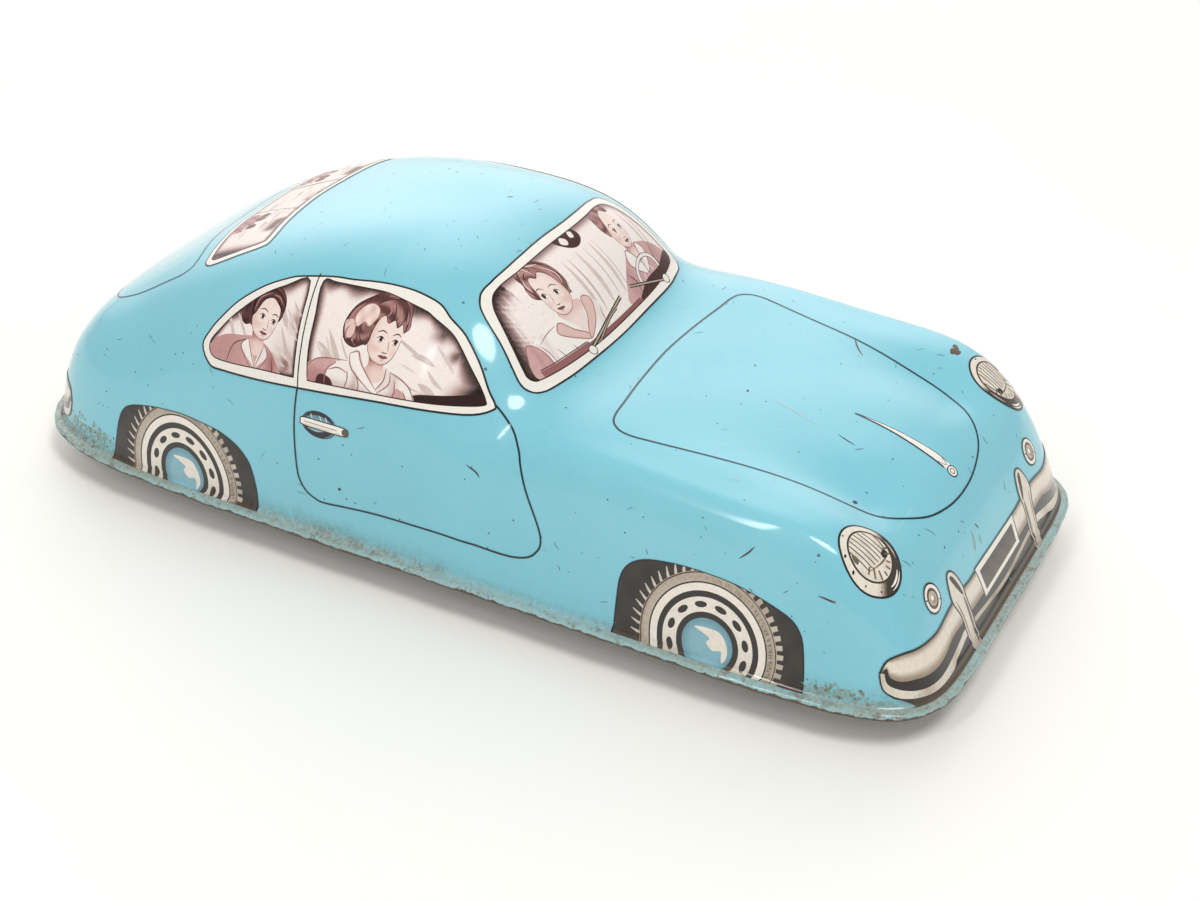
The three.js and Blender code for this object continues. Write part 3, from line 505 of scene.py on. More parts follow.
def outline_spokes():
    """Each spoke as its foot on the spine and its end on the wall's outline, counter-clockwise."""
    walls, spines = [], []
    for sign in (1, -1):
        y = sign * SPINE_END * np.linspace(-1, 1, SIDE_STEPS + 1)
        power = outline_power(y)
        x = sign * HALF_WIDTH * (1 - np.abs(y / HALF_LENGTH) ** power) ** (1 / power)
        walls += list(np.stack([x, y], -1))
        spines += list(np.stack([0 * y, y], -1))

        start = math.atan2(walls[-1][1], walls[-1][0])
        sweep = math.pi - 2 * math.atan2(abs(walls[-1][1]), abs(walls[-1][0]))
        fine = outline_point(start + sweep * np.linspace(0, 1, 4001))
        normal = outline_normal(fine)
        turn = np.arccos(np.clip((normal[1:] * normal[:-1]).sum(1), -1, 1))
        passed = np.r_[0, np.cumsum(np.linalg.norm(np.diff(fine, axis=0), axis=1) + CORNER_WEIGHT * turn)]
        share = np.arange(1, END_STEPS) / END_STEPS
        at = share * passed[-1]
        walls += list(np.stack([np.interp(at, passed, fine[:, k]) for k in (0, 1)], -1))
        middle = 1 - np.abs(2 * share - 1)
        spines += [np.array([0, sign * (SPINE_END + 38 * m)]) for m in middle]
    return np.array(spines), np.array(walls)


def dented(point):
    """Small unevenness of drawn tin, in millimetres of height."""
    x, y = point[..., 0], point[..., 1]
    return 0.10 * np.sin(x * 0.11 + 1.3) * np.sin(y * 0.083 + 0.4) + 0.05 * np.sin(x * 0.23 + y * 0.17)


def skin_points():
    """Rings of points from the spine down to the wall's foot, evenly spaced along each spoke."""
    spines, walls = outline_spokes()
    # fine samples along each spoke, ever closer together near the wall
    share = np.r_[np.linspace(0, 0.96, 241), 1 - 0.04 * 10 ** (-np.arange(1, 321) / 40)]
    plan = spines[:, None] + (walls - spines)[:, None] * share[None, :, None]
    height = body_height(plan[..., 0], plan[..., 1]) + dented(plan)
    column = np.concatenate([plan, BODY_ZERO + height[..., None]], -1)
    rings = []
    for points, wall in zip(column, walls):
        low = np.nonzero(points[:, 2] < FOOT_Z)[0]
        run = points[:low[0]] if len(low) else points
        run = np.vstack([run, [wall[0], wall[1], FOOT_Z]])
        passed = np.r_[0, np.cumsum(np.linalg.norm(np.diff(run, axis=0), axis=1))]
        at = np.linspace(0, passed[-1], SKIN_RINGS + 1)
        rings.append(np.stack([np.interp(at, passed, run[:, k]) for k in range(3)], -1))
    return np.array(rings), walls


def arc(centre, radius, start, end, steps):
    """Points on an arc, angles in degrees."""
    angle = np.radians(np.linspace(start, end, steps + 1))
    return [(centre[0] + radius * math.cos(a), centre[1] + radius * math.sin(a)) for a in angle]


def hem_profile():
    """The rolled edge as [outwards from the wall, height], from the outer skin round to the inner skin."""
    roll = (FLANGE_TOP - HEM_BOTTOM) / 2
    middle = (FLANGE_WIDTH - roll, HEM_BOTTOM + roll)
    fillet = arc((FILLET, FLANGE_TOP + FILLET), FILLET, 190, 262, 6)
    inner = arc(middle, roll - TIN, -90, 90, 6)
    lap = FLANGE_WIDTH - HEM_LAP
    return (fillet + arc(middle, roll, 90, -90, 12) + [(lap, HEM_BOTTOM), (lap, HEM_BOTTOM + TIN)] + inner
            + [(1.2, FLANGE_BOTTOM), (0.35, FLANGE_BOTTOM + 0.15), (-0.25, FLANGE_TOP + 0.65)])


def body_shell():
    rings, walls = skin_points()
    normals = outline_normal(walls)
    profile = hem_profile()
    passed = np.r_[0, np.cumsum(np.linalg.norm(np.diff(walls, axis=0), axis=1))]
    wave = 0.09 * np.sin(passed * 0.21) + 0.07 * np.sin(passed * 0.53 + 1) + 0.04 * np.sin(passed * 1.7)
    edge = np.array([[[*(wall + normal * (out - (0.1 + w) * (out > HEM_LAP))), z] for out, z in profile]
                     for wall, normal, w in zip(walls, normals, wave)])
    outer = np.concatenate([rings, edge], 1)
    count, rows = outer.shape[:2]

    shell = new_object("body_visual", outer.reshape(-1, 3), quads(count, rows, rows - 1))
    tidy_mesh(shell, (0, 0, 1))
    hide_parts("body_shell")
    shell.data.materials.append(PAINT)

    normal_at = {tuple(np.round(v.co * PER_MM, 1)): np.array(v.normal) for v in shell.data.vertices}
    pick = list(range(0, SKIN_RINGS + 1, LINING_STEP))
    inner = []
    for ring, last in zip(rings, edge[:, -1]):
        column = [p - TIN * normal_at.get(tuple(np.round(Vector(p), 1)), np.array([0, 0, 1.0]))
                  for p in ring[pick]]
        inner.append(column + [last])
    width = len(inner[0])
    faces = [(a, d, c, b) for a, b, c, d in quads(count, width, width - 1)]
    lining = new_object("body_lining", np.array(inner).reshape(-1, 3), faces)
    tidy_mesh(lining, (0, 0, -1))
    lining.data.materials.append(BARE_TIN)
    return shell


SHELL = body_shell()


# ---------------------------------------------------------------- charts: flat drawing to the body's skin
class Skin:
    """The body's outer skin, for laying flat drawings on it."""

    def __init__(self, thing):
        mesh = thing.data
        self.points = [v.co * PER_MM for v in mesh.vertices]
        self.normals = [v.normal.copy() for v in mesh.vertices]
        self.faces = [tuple(p.vertices) for p in mesh.polygons]
        self.tree = BVHTree.FromPolygons(self.points, self.faces)

    def at(self, origin, direction):
        """The skin's point and smooth normal where a ray meets it, or where it passes nearest."""
        place, _, index, _ = self.tree.ray_cast(origin, direction)
        if place is None:
            place, _, index, _ = self.tree.find_nearest(origin)
        corners = self.faces[index]
        weights = poly_3d_calc([self.points[c] for c in corners], place)
        normal = Vector()
        for corner, weight in zip(corners, weights):
            normal += self.normals[corner] * weight
        return place, normal.normalized()


SKIN = Skin(SHELL)
PRINT_FOOT = FLANGE_TOP - BODY_ZERO + 0.12  # side prints end where the wall's foot meets the flange


def side_chart(sign):
    """(y, z) seen from the car's left (+1) or right (-1)."""
    return lambda y, z: SKIN.at(Vector((sign * FAR, y, BODY_ZERO + z)), Vector((-sign, 0, 0)))


def front_chart(x, z):
    return SKIN.at(Vector((x, -FAR, BODY_ZERO + z)), Vector((0, 1, 0)))


def top_chart(x, y):
    return SKIN.at(Vector((x, y, FAR)), Vector((0, 0, -1)))


def band_chart(end):
    """(u, z) round the front (-1) or rear (+1) wall: u is the length along the wall from its middle."""
    outline = outline_point(np.linspace(0, end * math.pi, 8001))
    passed = np.r_[0, np.cumsum(np.linalg.norm(np.diff(outline, axis=0), axis=1))]
    middle = np.interp(0, -outline[:, 0], passed)

    def place(u, z):
        at = middle - u
        spot = np.array([np.interp(at, passed, outline[:, k]) for k in (0, 1)])
        out = outline_normal(spot)
        origin = spot + 60 * out
        return SKIN.at(Vector((*origin, BODY_ZERO + z)), Vector((*-out, 0)))

    return place


# ---------------------------------------------------------------- printed artwork
LIFT = 0.07  # printed sheets lie this far above the paint
LEAST_AREA = 2e-3  # smaller outlines are left out of a drawing


def curve(points, steps=4, closed=True):
    """A smooth line through the points (Catmull-Rom). A point given twice is a sharp corner."""
    points = [np.array(p, float) for p in points]
    count = len(points)
    made = []
    for i in range(count if closed else count - 1):
        a, b = points[i], points[(i + 1) % count]
        if np.allclose(a, b):
            continue
        before = points[i - 1] if closed or i else a
        after = points[(i + 2) % count] if closed or i + 2 < count else b
        for k in range(steps):
            t = k / steps
            made.append(0.5 * (2 * a + (b - before) * t + (2 * before - 5 * a + 4 * b - after) * t * t
                               + (3 * (a - b) + after - before) * t ** 3))
    if not closed:
        made.append(points[-1])
    return made


def ellipse(centre, rx, ry, steps, turn=0.0):
    c, s = math.cos(turn), math.sin(turn)
    made = []
    for k in range(steps):
        a = 2 * math.pi * k / steps
        u, v = rx * math.cos(a), ry * math.sin(a)
        made.append((centre[0] + u * c - v * s, centre[1] + u * s + v * c))
    return made


def both_halves(points):
    """A closed outline from its right half, which starts and ends on the mirror line."""
    return list(points) + [(-x, y) for x, y in points[-2:0:-1]]


def inside_outline(points, outline):
    x, y = points[:, 0], points[:, 1]
    found = np.zeros(len(points), bool)
    last = outline[-1]
    for here in outline:
        crosses = (here[1] > y) != (last[1] > y)
        if here[1] != last[1]:
            found ^= crosses & (x < (last[0] - here[0]) * (y - here[1]) / (last[1] - here[1]) + here[0])
        last = here
    return found


class Print:
    """Artwork drawn flat in a chart: shapes painted one over the other, then laid on the skin."""

    def __init__(self, name, chart, grid=1.4, lift=LIFT, foot=-FAR):
        self.name, self.chart, self.grid, self.lift, self.foot = name, chart, grid, lift, foot
        self.points, self.faces, self.owner = [], [], []
        self.shapes = []
        self.grounds = []

    def _add(self, polygons, paint, tone, within):
        shape = len(self.shapes)
        self.shapes.append((paint, tone, within))
        for polygon in polygons:
            polygon = [(p[0], max(p[1], self.foot)) for p in polygon]
            area = sum(a[0] * b[1] - b[0] * a[1] for a, b in zip(polygon, polygon[1:] + polygon[:1]))
            if abs(area) < LEAST_AREA:
                continue
            first = len(self.points)
            self.points += [Vector((float(p[0]), float(p[1]))) for p in polygon]
            run = list(range(first, len(self.points)))
            self.faces.append(run if area > 0 else run[::-1])
            self.owner.append(shape)
        return shape

    def _strip(self, one, other, closed, paint, tone, within):
        """The triangles between two lines with as many points as each other."""
        pieces = []
        for i in range(len(one) if closed else len(one) - 1):
            j = (i + 1) % len(one)
            pieces += [[one[i], other[i], other[j]], [one[i], other[j], one[j]]]
        return self._add(pieces, paint, tone, within)

    def fill(self, outline, paint, tone, within=None, smooth=4):
        """A filled shape. The tone is a number, or a function of the chart's two coordinates."""
        outline = [(p[0], max(p[1], self.foot)) for p in (curve(outline, smooth) if smooth else outline)]
        if within is None:
            self.grounds.append(outline)
        return self._add([outline], paint, tone, within)

    def stroke(self, path, width, paint, tone, within=None, smooth=4, closed=False, ends=(1, 1)):
        """A line of a width measured on the skin. The end factors say how much of it is left at the ends."""
        path = curve(path, smooth, closed) if smooth else [np.array(p, float) for p in path]
        count = len(path)
        left, right = [], []
        probe = 0.3
        for i, p in enumerate(path):
            before = path[i - 1] if closed or i else p
            after = path[(i + 1) % count] if closed or i + 1 < count else p
            along = after - before
            along = along / max(np.linalg.norm(along), 1e-9)
            t = i / (count - 1)
            taper = min(1.0, ends[0] + (1 - ends[0]) * 3 * t, ends[1] + (1 - ends[1]) * 3 * (1 - t))
            across = np.array([-along[1], along[0]]) * probe
            stretch = (self.chart(*(p + across))[0] - self.chart(*(p - across))[0]).length / (2 * probe)
            half = max(width * taper / 2, 0.02) / min(max(stretch, 0.8), 8)
            left.append((p[0] - along[1] * half, p[1] + along[0] * half))
            right.append((p[0] + along[1] * half, p[1] - along[0] * half))
        return self._strip(left, right, closed, paint, tone, within)

    def edged(self, outline, paint, tone, edge, ink="line", ink_tone=0.3, within=None, smooth=4):
        """A filled shape with a line of the edge width round it."""
        self.fill(outline, paint, tone, within, smooth)
        self.stroke(outline, edge, ink, ink_tone, within, smooth, closed=True)

    def disc(self, centre, rx, ry, paint, tone, steps):
        self.fill(ellipse(centre, rx, ry, steps), paint, tone, smooth=0)

    def ring(self, centre, outer, inner, paint, tone, steps, stretch, within=None):
        """A band between two circles, or ellipses stretched in the second coordinate."""
        outside = ellipse(centre, outer, outer * stretch, steps)
        inside = ellipse(centre, inner, inner * stretch, steps)
        return self._strip(outside, inside, True, paint, tone, within)

    def lay(self):
        """Triangulates the drawing, lays it on the skin and returns the object."""
        points = list(self.points)
        for outline in self.grounds:
            low, high = np.min(outline, 0), np.max(outline, 0)
            spots = np.stack(np.meshgrid(np.arange(low[0], high[0], self.grid),
                                         np.arange(low[1], high[1], self.grid)), -1).reshape(-1, 2)
            spots[:, 0] += 0.37 * self.grid * (np.arange(len(spots)) % 2)
            points += [Vector(p) for p in spots[inside_outline(spots, outline)]]
        flat, _, faces, _, _, owners = delaunay_2d_cdt(points, [], self.faces, 1, 1e-4)
        kept, inks, tones = [], [], []
        for face, inputs in zip(faces, owners):
            over = {self.owner[i] for i in inputs}
            shown = [k for k in over if self.shapes[k][2] is None or self.shapes[k][2] in over]
            if not shown:
                continue
            paint, tone, _ = self.shapes[max(shown)]
            kept.append(face)
            inks.append(paint)
            tones.append([tone(*flat[v]) if callable(tone) else tone for v in face])
        used = sorted({v for face in kept for v in face})
        new = {v: i for i, v in enumerate(used)}
        laid = [self.chart(*flat[v]) for v in used]
        outwards = 0.0
        for face in kept:
            a, b, c = (laid[new[v]][0] for v in face[:3])
            outwards += (b - a).cross(c - a).dot(laid[new[face[0]]][1])
        if outwards < 0:
            kept = [face[::-1] for face in kept]
            tones = [face[::-1] for face in tones]
        thing = new_object(self.name, [p + n * self.lift for p, n in laid],
                           [[new[v] for v in face] for face in kept])
        mesh = thing.data
        names = sorted(set(inks))
        for paint in names:
            mesh.materials.append(INKS[paint])
        mesh.polygons.foreach_set("material_index", [names.index(i) for i in inks])
        tone = mesh.attributes.new("tone", "FLOAT", "CORNER")
        tone.data.foreach_set("value", [float(min(max(t, 0), 1)) for face in tones for t in face])
        normals = [n for _, n in laid]
        mesh.normals_split_custom_set_from_vertices(normals)
        return thing


# ---------------------------------------------------------------- drawing helpers
def polar(radius, degrees, stretch=1.0):
    """The point at a radius and an angle, stretched in the first coordinate."""
    a = math.radians(degrees)
    return radius * math.cos(a) * stretch, radius * math.sin(a)


def edge_distance(outline):
    """How far a point lies from a closed outline."""
    start = np.array(outline, float)
    along = np.roll(start, -1, 0) - start
    square = np.maximum((along ** 2).sum(1), 1e-9)

    def distance(x, y):
        offset = np.array([x, y]) - start
        share = np.clip((offset * along).sum(1) / square, 0, 1)
        return float(np.sqrt(((offset - along * share[:, None]) ** 2).sum(1)).min())

    return distance


def fade(value, low, high):
    """Runs smoothly from 0 at low to 1 at high."""
    t = min(max((value - low) / (high - low), 0.0), 1.0)
    return t * t * (3 - 2 * t)


def bell(value, middle, width):
    return math.exp(-((value - middle) / width) ** 2)


class Sitter:
    """A printed passenger on textbook proportions.

    Points are in head heights: u towards the side faced, v up from the chin.
    """

    def __init__(self, art, chin, height, facing, within, lean, width):
        self.art, self.chin, self.height, self.facing, self.within = art, chin, height, facing, within
        self.cos, self.sin, self.width = math.cos(lean), math.sin(lean), width

    def to(self, points):
        made = []
        for u, v in points:
            u, v = u * self.width * self.height, v * self.height
            made.append((self.chin[0] + self.facing * (u * self.cos + v * self.sin),
                         self.chin[1] + v * self.cos - u * self.sin))
        return made

    def local(self, x, y):
        dx, dy = (x - self.chin[0]) * self.facing, y - self.chin[1]
        u = (dx * self.cos - dy * self.sin) / self.height / self.width
        return u, (dx * self.sin + dy * self.cos) / self.height

    def fill(self, points, paint, tone):
        self.art.fill(self.to(points), paint, tone, self.within)

    def line(self, points, width, paint, tone, ends=(0.4, 0.4)):
        self.art.stroke(self.to(points), width * self.height, paint, tone, self.within, ends=ends)

    def neck(self):
        def shade(x, y):
            u, v = self.local(x, y)
            return 0.25 + 0.5 * fade(v, -0.18, 0.06) + 0.25 * fade(-u, 0.0, 0.2)
        self.fill([(-0.2, 0.2), (-0.19, -0.05), (-0.27, -0.24), (0.0, -0.42), (0.2, -0.22), (0.13, -0.04),
                   (0.12, 0.15)], "skin", shade)

    def face(self):
        turn = 0.07

        def shade(x, y):
            u, v = self.local(x, y)
            side = fade(-u, 0.12, 0.34)
            under = 1 - fade(v, 0.02, 0.14)
            blush = 0.35 * math.exp(-((u + 0.13) / 0.1) ** 2 - ((v - 0.29) / 0.08) ** 2)
            blush += 0.3 * math.exp(-((u - 0.24) / 0.06) ** 2 - ((v - 0.29) / 0.08) ** 2)
            return 0.08 + 0.42 * side + 0.3 * under + blush + 0.12 * fade(v, 0.7, 0.95)
        outline = [(0.06, 0.0), (0.16, 0.05), (0.25, 0.17), (0.31, 0.36), (0.33, 0.55), (0.31, 0.75),
                   (0.2, 0.93), (0.0, 1.0), (-0.2, 0.95), (-0.32, 0.76), (-0.35, 0.5), (-0.29, 0.25),
                   (-0.17, 0.08), (-0.04, 0.01)]
        self.fill(outline, "skin", shade)
        self.line(outline[-4:] + outline[:5], 0.022, "rose", 0.75, (0.5, 0.5))
        for u, wide in ((turn - 0.155, 0.085), (turn + 0.155, 0.072)):
            self.fill(ellipse((u, 0.49), wide, 0.042, 10), "blouse", 0.1)
            self.fill(ellipse((u + 0.012, 0.49), 0.036, 0.044, 10), "brown", 0.5)
            self.line([(u - wide, 0.49), (u, 0.545), (u + wide, 0.50)], 0.03, "brown", 0.7)
            self.line([(u - wide * 0.7, 0.447), (u, 0.433), (u + wide * 0.7, 0.45)], 0.014, "rose", 0.8)
            self.line([(u - wide * 1.2, 0.605), (u, 0.655), (u + wide * 1.2, 0.62)], 0.032, "brown", 0.3)
        self.line([(turn + 0.03, 0.5), (turn + 0.055, 0.36), (turn + 0.075, 0.29)], 0.02, "rose", 0.6)
        self.line([(turn - 0.055, 0.265), (turn, 0.245), (turn + 0.06, 0.262)], 0.026, "brown", 0.2)
        self.fill([(turn - 0.11, 0.172), (turn - 0.035, 0.2), (turn, 0.19), (turn + 0.035, 0.2),
                   (turn + 0.1, 0.172), (turn + 0.03, 0.125), (turn - 0.04, 0.125)], "rose", 0.75)
        self.line([(turn - 0.11, 0.173), (turn, 0.165), (turn + 0.1, 0.173)], 0.016, "brown", 0.3)
        self.line([(turn - 0.05, 0.095), (turn + 0.04, 0.095)], 0.018, "skin", 0.8)

    def locks(self, outline, centre, waves, dark, swirl=4.0):
        """A mass of hair shaded in waves that wind about a centre."""
        def shade(x, y):
            u, v = self.local(x, y)
            r = math.hypot(u - centre[0], v - centre[1])
            a = math.atan2(v - centre[1], u - centre[0])
            return dark + 0.3 * math.sin(waves * a + swirl * 6 * r) * fade(r, 0.02, 0.2)
        self.fill(outline, "hair", shade)
        self.line(outline + outline[:1], 0.02, "hair", 0.95, (1, 1))

    def strands(self, paths, width=0.035, tone=0.08, paint="hair"):
        for path in paths:
            self.line(path, width, paint, tone, (0.1, 0.1))

    def lapels(self, depth):
        """The two crossing edges of a light collar."""
        self.fill([(-0.26, -0.1), (-0.26, -0.1), (-0.38, -0.36), (0.05, -depth), (0.05, -depth),
                   (-0.04, -0.45)], "blouse", 0.1)
        self.fill([(0.18, -0.08), (0.18, -0.08), (0.3, -0.34), (0.05, -depth), (0.05, -depth),
                   (0.06, -0.45)], "blouse", 0.25)
        self.line([(-0.26, -0.1), (-0.12, -0.36), (0.05, -depth)], 0.03, "rose", 0.75)
        self.line([(0.18, -0.08), (0.13, -0.36), (0.05, -depth)], 0.028, "rose", 0.85)
        self.line([(-0.26, -0.1), (-0.4, -0.36), (0.03, -depth - 0.12)], 0.028, "rose", 0.8)
        self.line([(0.18, -0.08), (0.32, -0.34), (0.07, -depth - 0.12)], 0.028, "rose", 0.8)


def glints(art, within, low, high, count, slope):
    """Soft slanting smudges of reflected light and shade on a printed window."""
    for _ in range(count):
        x, y = rng.uniform(low[0], high[0]), rng.uniform(low[1], high[1])
        size, turn = rng.uniform(1.2, 3.4), slope * rng.uniform(0.4, 1.6)
        path = [(x - size, y - size * turn), (x, y + rng.uniform(-0.4, 0.4)), (x + size, y + size * turn)]
        art.stroke(path, rng.uniform(0.4, 1.4), "streak", rng.uniform(0, 0.6), within, ends=(0.05, 0.05))


# ---------------------------------------------------------------- side windows
FRAME_EDGE = 0.42  # width of the dark line round a window frame
SIDE_FRAME = [(56.7, 33.2), (53.75, 30.3), (50, 30.3), (40, 31.3), (30, 32.5), (20, 33.6), (10, 34.6),
              (0, 35.1), (-8.3, 35.25), (-11.7, 36.1), (-11.75, 36.9), (-10, 39), (-6.7, 43.4),
              (-2.5, 47.3), (1.7, 49.6), (5, 51.2), (10, 52.1), (15, 52.3), (20, 52.1), (25, 51.6),
              (30, 51.1), (36.7, 49.8), (40, 48.8), (45, 46.5), (50, 43), (53.3, 39.4), (55.4, 36.5)]
QUARTER_GLASS = [(34.5, 49.6), (40, 47.75), (45, 45), (50, 40.7), (52.9, 37.3), (54.8, 34.4), (53.75, 32.3),
                 (50, 32.1), (40, 33.4), (31.5, 34.2), (31.5, 34.2), (32.5, 41.5)]
DOOR_GLASS = [(31.5, 50.2), (28.3, 50.7), (20, 51.2), (15, 51.2), (7.5, 50.25), (4.6, 49.4), (0.4, 47.75),
              (-2.5, 45.7), (-5.8, 42.5), (-8.3, 39.8), (-10, 37.5), (-9.8, 36.8), (-5, 36.6), (0, 36.4),
              (10, 35.9), (20, 35.2), (28.1, 34.5), (28.1, 34.5), (29.2, 39.8), (30, 45.7)]


def dark_edge(near, width):
    """Shade that is full at an edge and dies away within the width."""
    return math.exp(-(near / width) ** 2.4)


def quarter_rider(art, glass):
    """The rear passenger: dark hair drawn back into a knot, and a rose jacket."""
    rider = Sitter(art, (42.0, 38.6), 7.5, -1, glass, 0.05, 1.36)
    rider.locks(ellipse((-0.46, 0.4), 0.17, 0.24, 16), (-0.46, 0.42), 2, 0.7)
    rider.locks([(-0.3, 0.2), (-0.46, 0.5), (-0.44, 0.86), (-0.2, 1.12), (0.12, 1.16), (0.34, 1.02),
                 (0.4, 0.76), (0.3, 0.5)], (0.0, 0.5), 2, 0.8)
    jacket = [(-1.2, -0.66), (-0.9, -0.3), (-0.42, -0.1), (-0.2, -0.02), (0.2, -0.05), (0.5, -0.28),
              (0.78, -0.7), (0.8, -1.1), (-1.2, -1.1)]
    rider.fill(jacket, "rose", lambda y, z: 0.02 + 0.2 * fade(y, 42, 50) + 0.45 * bell(y, 37.5, 1.6))
    rider.neck()
    rider.lapels(0.72)
    rider.face()
    rider.locks([(-0.36, 0.4), (-0.42, 0.74), (-0.2, 1.04), (0.12, 1.08), (0.34, 0.94), (0.36, 0.76),
                 (0.22, 0.86), (0.02, 0.93), (-0.18, 0.8), (-0.28, 0.5)], (0.0, 0.6), 2, 0.75, 6)
    rider.strands([[(-0.34, 0.5), (-0.3, 0.8), (-0.06, 1.0)], [(0.3, 0.9), (0.16, 1.0), (0.0, 0.98)]])
    rider.line([(-0.3, -0.14), (-0.6, -0.4), (-0.7, -0.9)], 0.03, "brown", 0.1)
    rider.line([(0.42, -0.3), (0.5, -0.6), (0.44, -0.9)], 0.03, "brown", 0.1)


def door_rider(art, glass):
    """The front passenger: short waved hair with a light ribbon, and a pale jacket with a wide collar."""
    rider = Sitter(art, (12.9, 41.0), 8.1, -1, glass, 0.0, 1.32)
    rider.locks([(-0.42, 0.3), (-0.6, 0.2), (-0.82, 0.3), (-0.92, 0.6), (-0.82, 0.94), (-0.6, 1.14),
                 (-0.32, 1.28), (0.0, 1.33), (0.26, 1.22), (0.37, 0.96), (0.34, 0.7)], (-0.5, 0.55), 2,
                0.42, 3)
    rider.fill([(-0.9, 0.66), (-0.84, 0.4), (-0.72, 0.36), (-0.66, 0.5), (-0.72, 0.7)], "skin", 0.45)
    jacket = [(-1.55, -1.1), (-1.52, -0.52), (-1.38, -0.3), (-1.1, -0.17), (-0.84, -0.17), (-0.64, -0.09),
              (-0.62, 0.07), (-0.48, 0.14), (-0.38, 0.05), (-0.2, -0.1), (0.1, -0.1), (0.2, -0.04),
              (0.3, -0.09), (0.56, -0.2), (0.76, -0.36), (0.9, -0.62), (0.98, -1.1)]

    def folds(y, z):
        return 0.1 + 0.6 * bell(y, 17.2, 0.8) + 0.5 * bell(y, 8.5, 1.0) + 0.6 * fade(37.2 - z, 0, 2.0)
    rider.fill(jacket, "blouse", folds)
    shoulder = [(-1.55, -1.1), (-1.52, -0.52), (-1.38, -0.3), (-1.1, -0.17), (-0.86, -0.18), (-1.02, -0.42),
                (-1.04, -0.8), (-0.98, -1.1)]
    rider.fill(shoulder, "rose", lambda y, z: 0.02 + 0.35 * fade(38.5 - z, 0, 2.5))
    rider.fill([(-1.22, -0.62), (-1.1, -0.54), (-0.9, -0.62), (-0.84, -0.9), (-1.2, -0.9)], "brown", 0.2)
    rider.fill([(0.42, -0.62), (0.5, -0.4), (0.66, -0.5), (0.74, -0.72), (0.7, -0.95), (0.5, -0.95)],
               "rose", 0.05)
    rider.neck()
    rider.fill([(-0.58, 0.06), (-0.44, 0.1), (-0.34, -0.1), (0.08, -0.54), (0.02, -0.62), (-0.44, -0.26)],
               "blouse", 0.05)
    rider.fill([(0.16, -0.06), (0.28, -0.1), (0.3, -0.34), (0.08, -0.6), (0.07, -0.5), (0.18, -0.3)],
               "blouse", 0.35)
    rider.face()
    seams = ([(-0.62, 0.06), (-0.5, -0.26), (0.02, -0.66)], [(-0.44, 0.12), (-0.3, -0.12), (0.07, -0.55)],
             [(0.2, -0.04), (0.2, -0.3), (0.07, -0.55)], [(0.3, -0.09), (0.32, -0.36), (0.1, -0.62)],
             [(-0.62, 0.06), (-0.46, 0.15), (-0.38, 0.04)],
             [(-1.5, -0.5), (-1.34, -0.28), (-1.1, -0.17), (-0.64, -0.1)],
             [(-0.86, -0.2), (-1.04, -0.42), (-1.04, -0.8)], [(-1.0, -0.4), (-0.8, -0.3), (-0.6, -0.36)],
             [(-0.6, -0.3), (-0.56, -0.5), (-0.62, -0.8)], [(-0.4, -0.34), (-0.3, -0.56), (-0.34, -0.8)],
             [(0.3, -0.1), (0.56, -0.2), (0.78, -0.38), (0.94, -0.8)],
             [(0.42, -0.24), (0.46, -0.5), (0.4, -0.8)], [(0.62, -0.42), (0.72, -0.6), (0.74, -0.85)])
    for seam in seams:
        rider.line(seam, 0.035, "rose", 0.62)
    rider.locks([(-0.36, 0.3), (-0.5, 0.4), (-0.56, 0.66), (-0.46, 0.98), (-0.24, 1.16), (0.04, 1.22),
                 (0.26, 1.1), (0.35, 0.86), (0.33, 0.7), (0.25, 0.84), (0.17, 0.76), (0.08, 0.88),
                 (-0.04, 0.8), (-0.14, 0.92), (-0.24, 0.84), (-0.3, 0.6), (-0.31, 0.4)], (-0.4, 0.6), 3,
                0.35, 4)
    ribbon = [(-0.4, 0.66), (-0.29, 0.84), (-0.32, 1.0), (-0.5, 1.06), (-0.68, 0.94), (-0.74, 0.74),
              (-0.64, 0.6), (-0.52, 0.72)]
    rider.fill(ribbon, "skin", lambda y, z: 0.3 + 0.3 * math.sin(y * 2.4) * math.sin(z * 1.9))
    rider.line(ribbon + ribbon[:1], 0.024, "rose", 0.6)
    rider.strands([[(-0.86, 0.6), (-0.8, 0.86), (-0.64, 1.04)],
                   [(-0.76, 0.28), (-0.84, 0.46), (-0.78, 0.6)],
                   [(-0.56, 0.24), (-0.66, 0.34), (-0.56, 0.46)],
                   [(-0.26, 1.22), (0.0, 1.27), (0.2, 1.18)], [(0.28, 0.8), (0.32, 0.9), (0.26, 1.06)],
                   [(0.1, 0.84), (0.16, 0.96), (0.08, 1.1)], [(-0.12, 0.9), (-0.07, 1.0), (-0.16, 1.1)]],
                  0.05)
    rider.strands([[(-0.88, 0.36), (-0.78, 0.3), (-0.6, 0.3)], [(-0.7, 0.2), (-0.58, 0.32), (-0.6, 0.5)],
                   [(0.02, 0.84), (0.02, 1.0), (-0.06, 1.16)], [(0.2, 0.8), (0.25, 0.96), (0.2, 1.12)]],
                  0.03, 0.95)


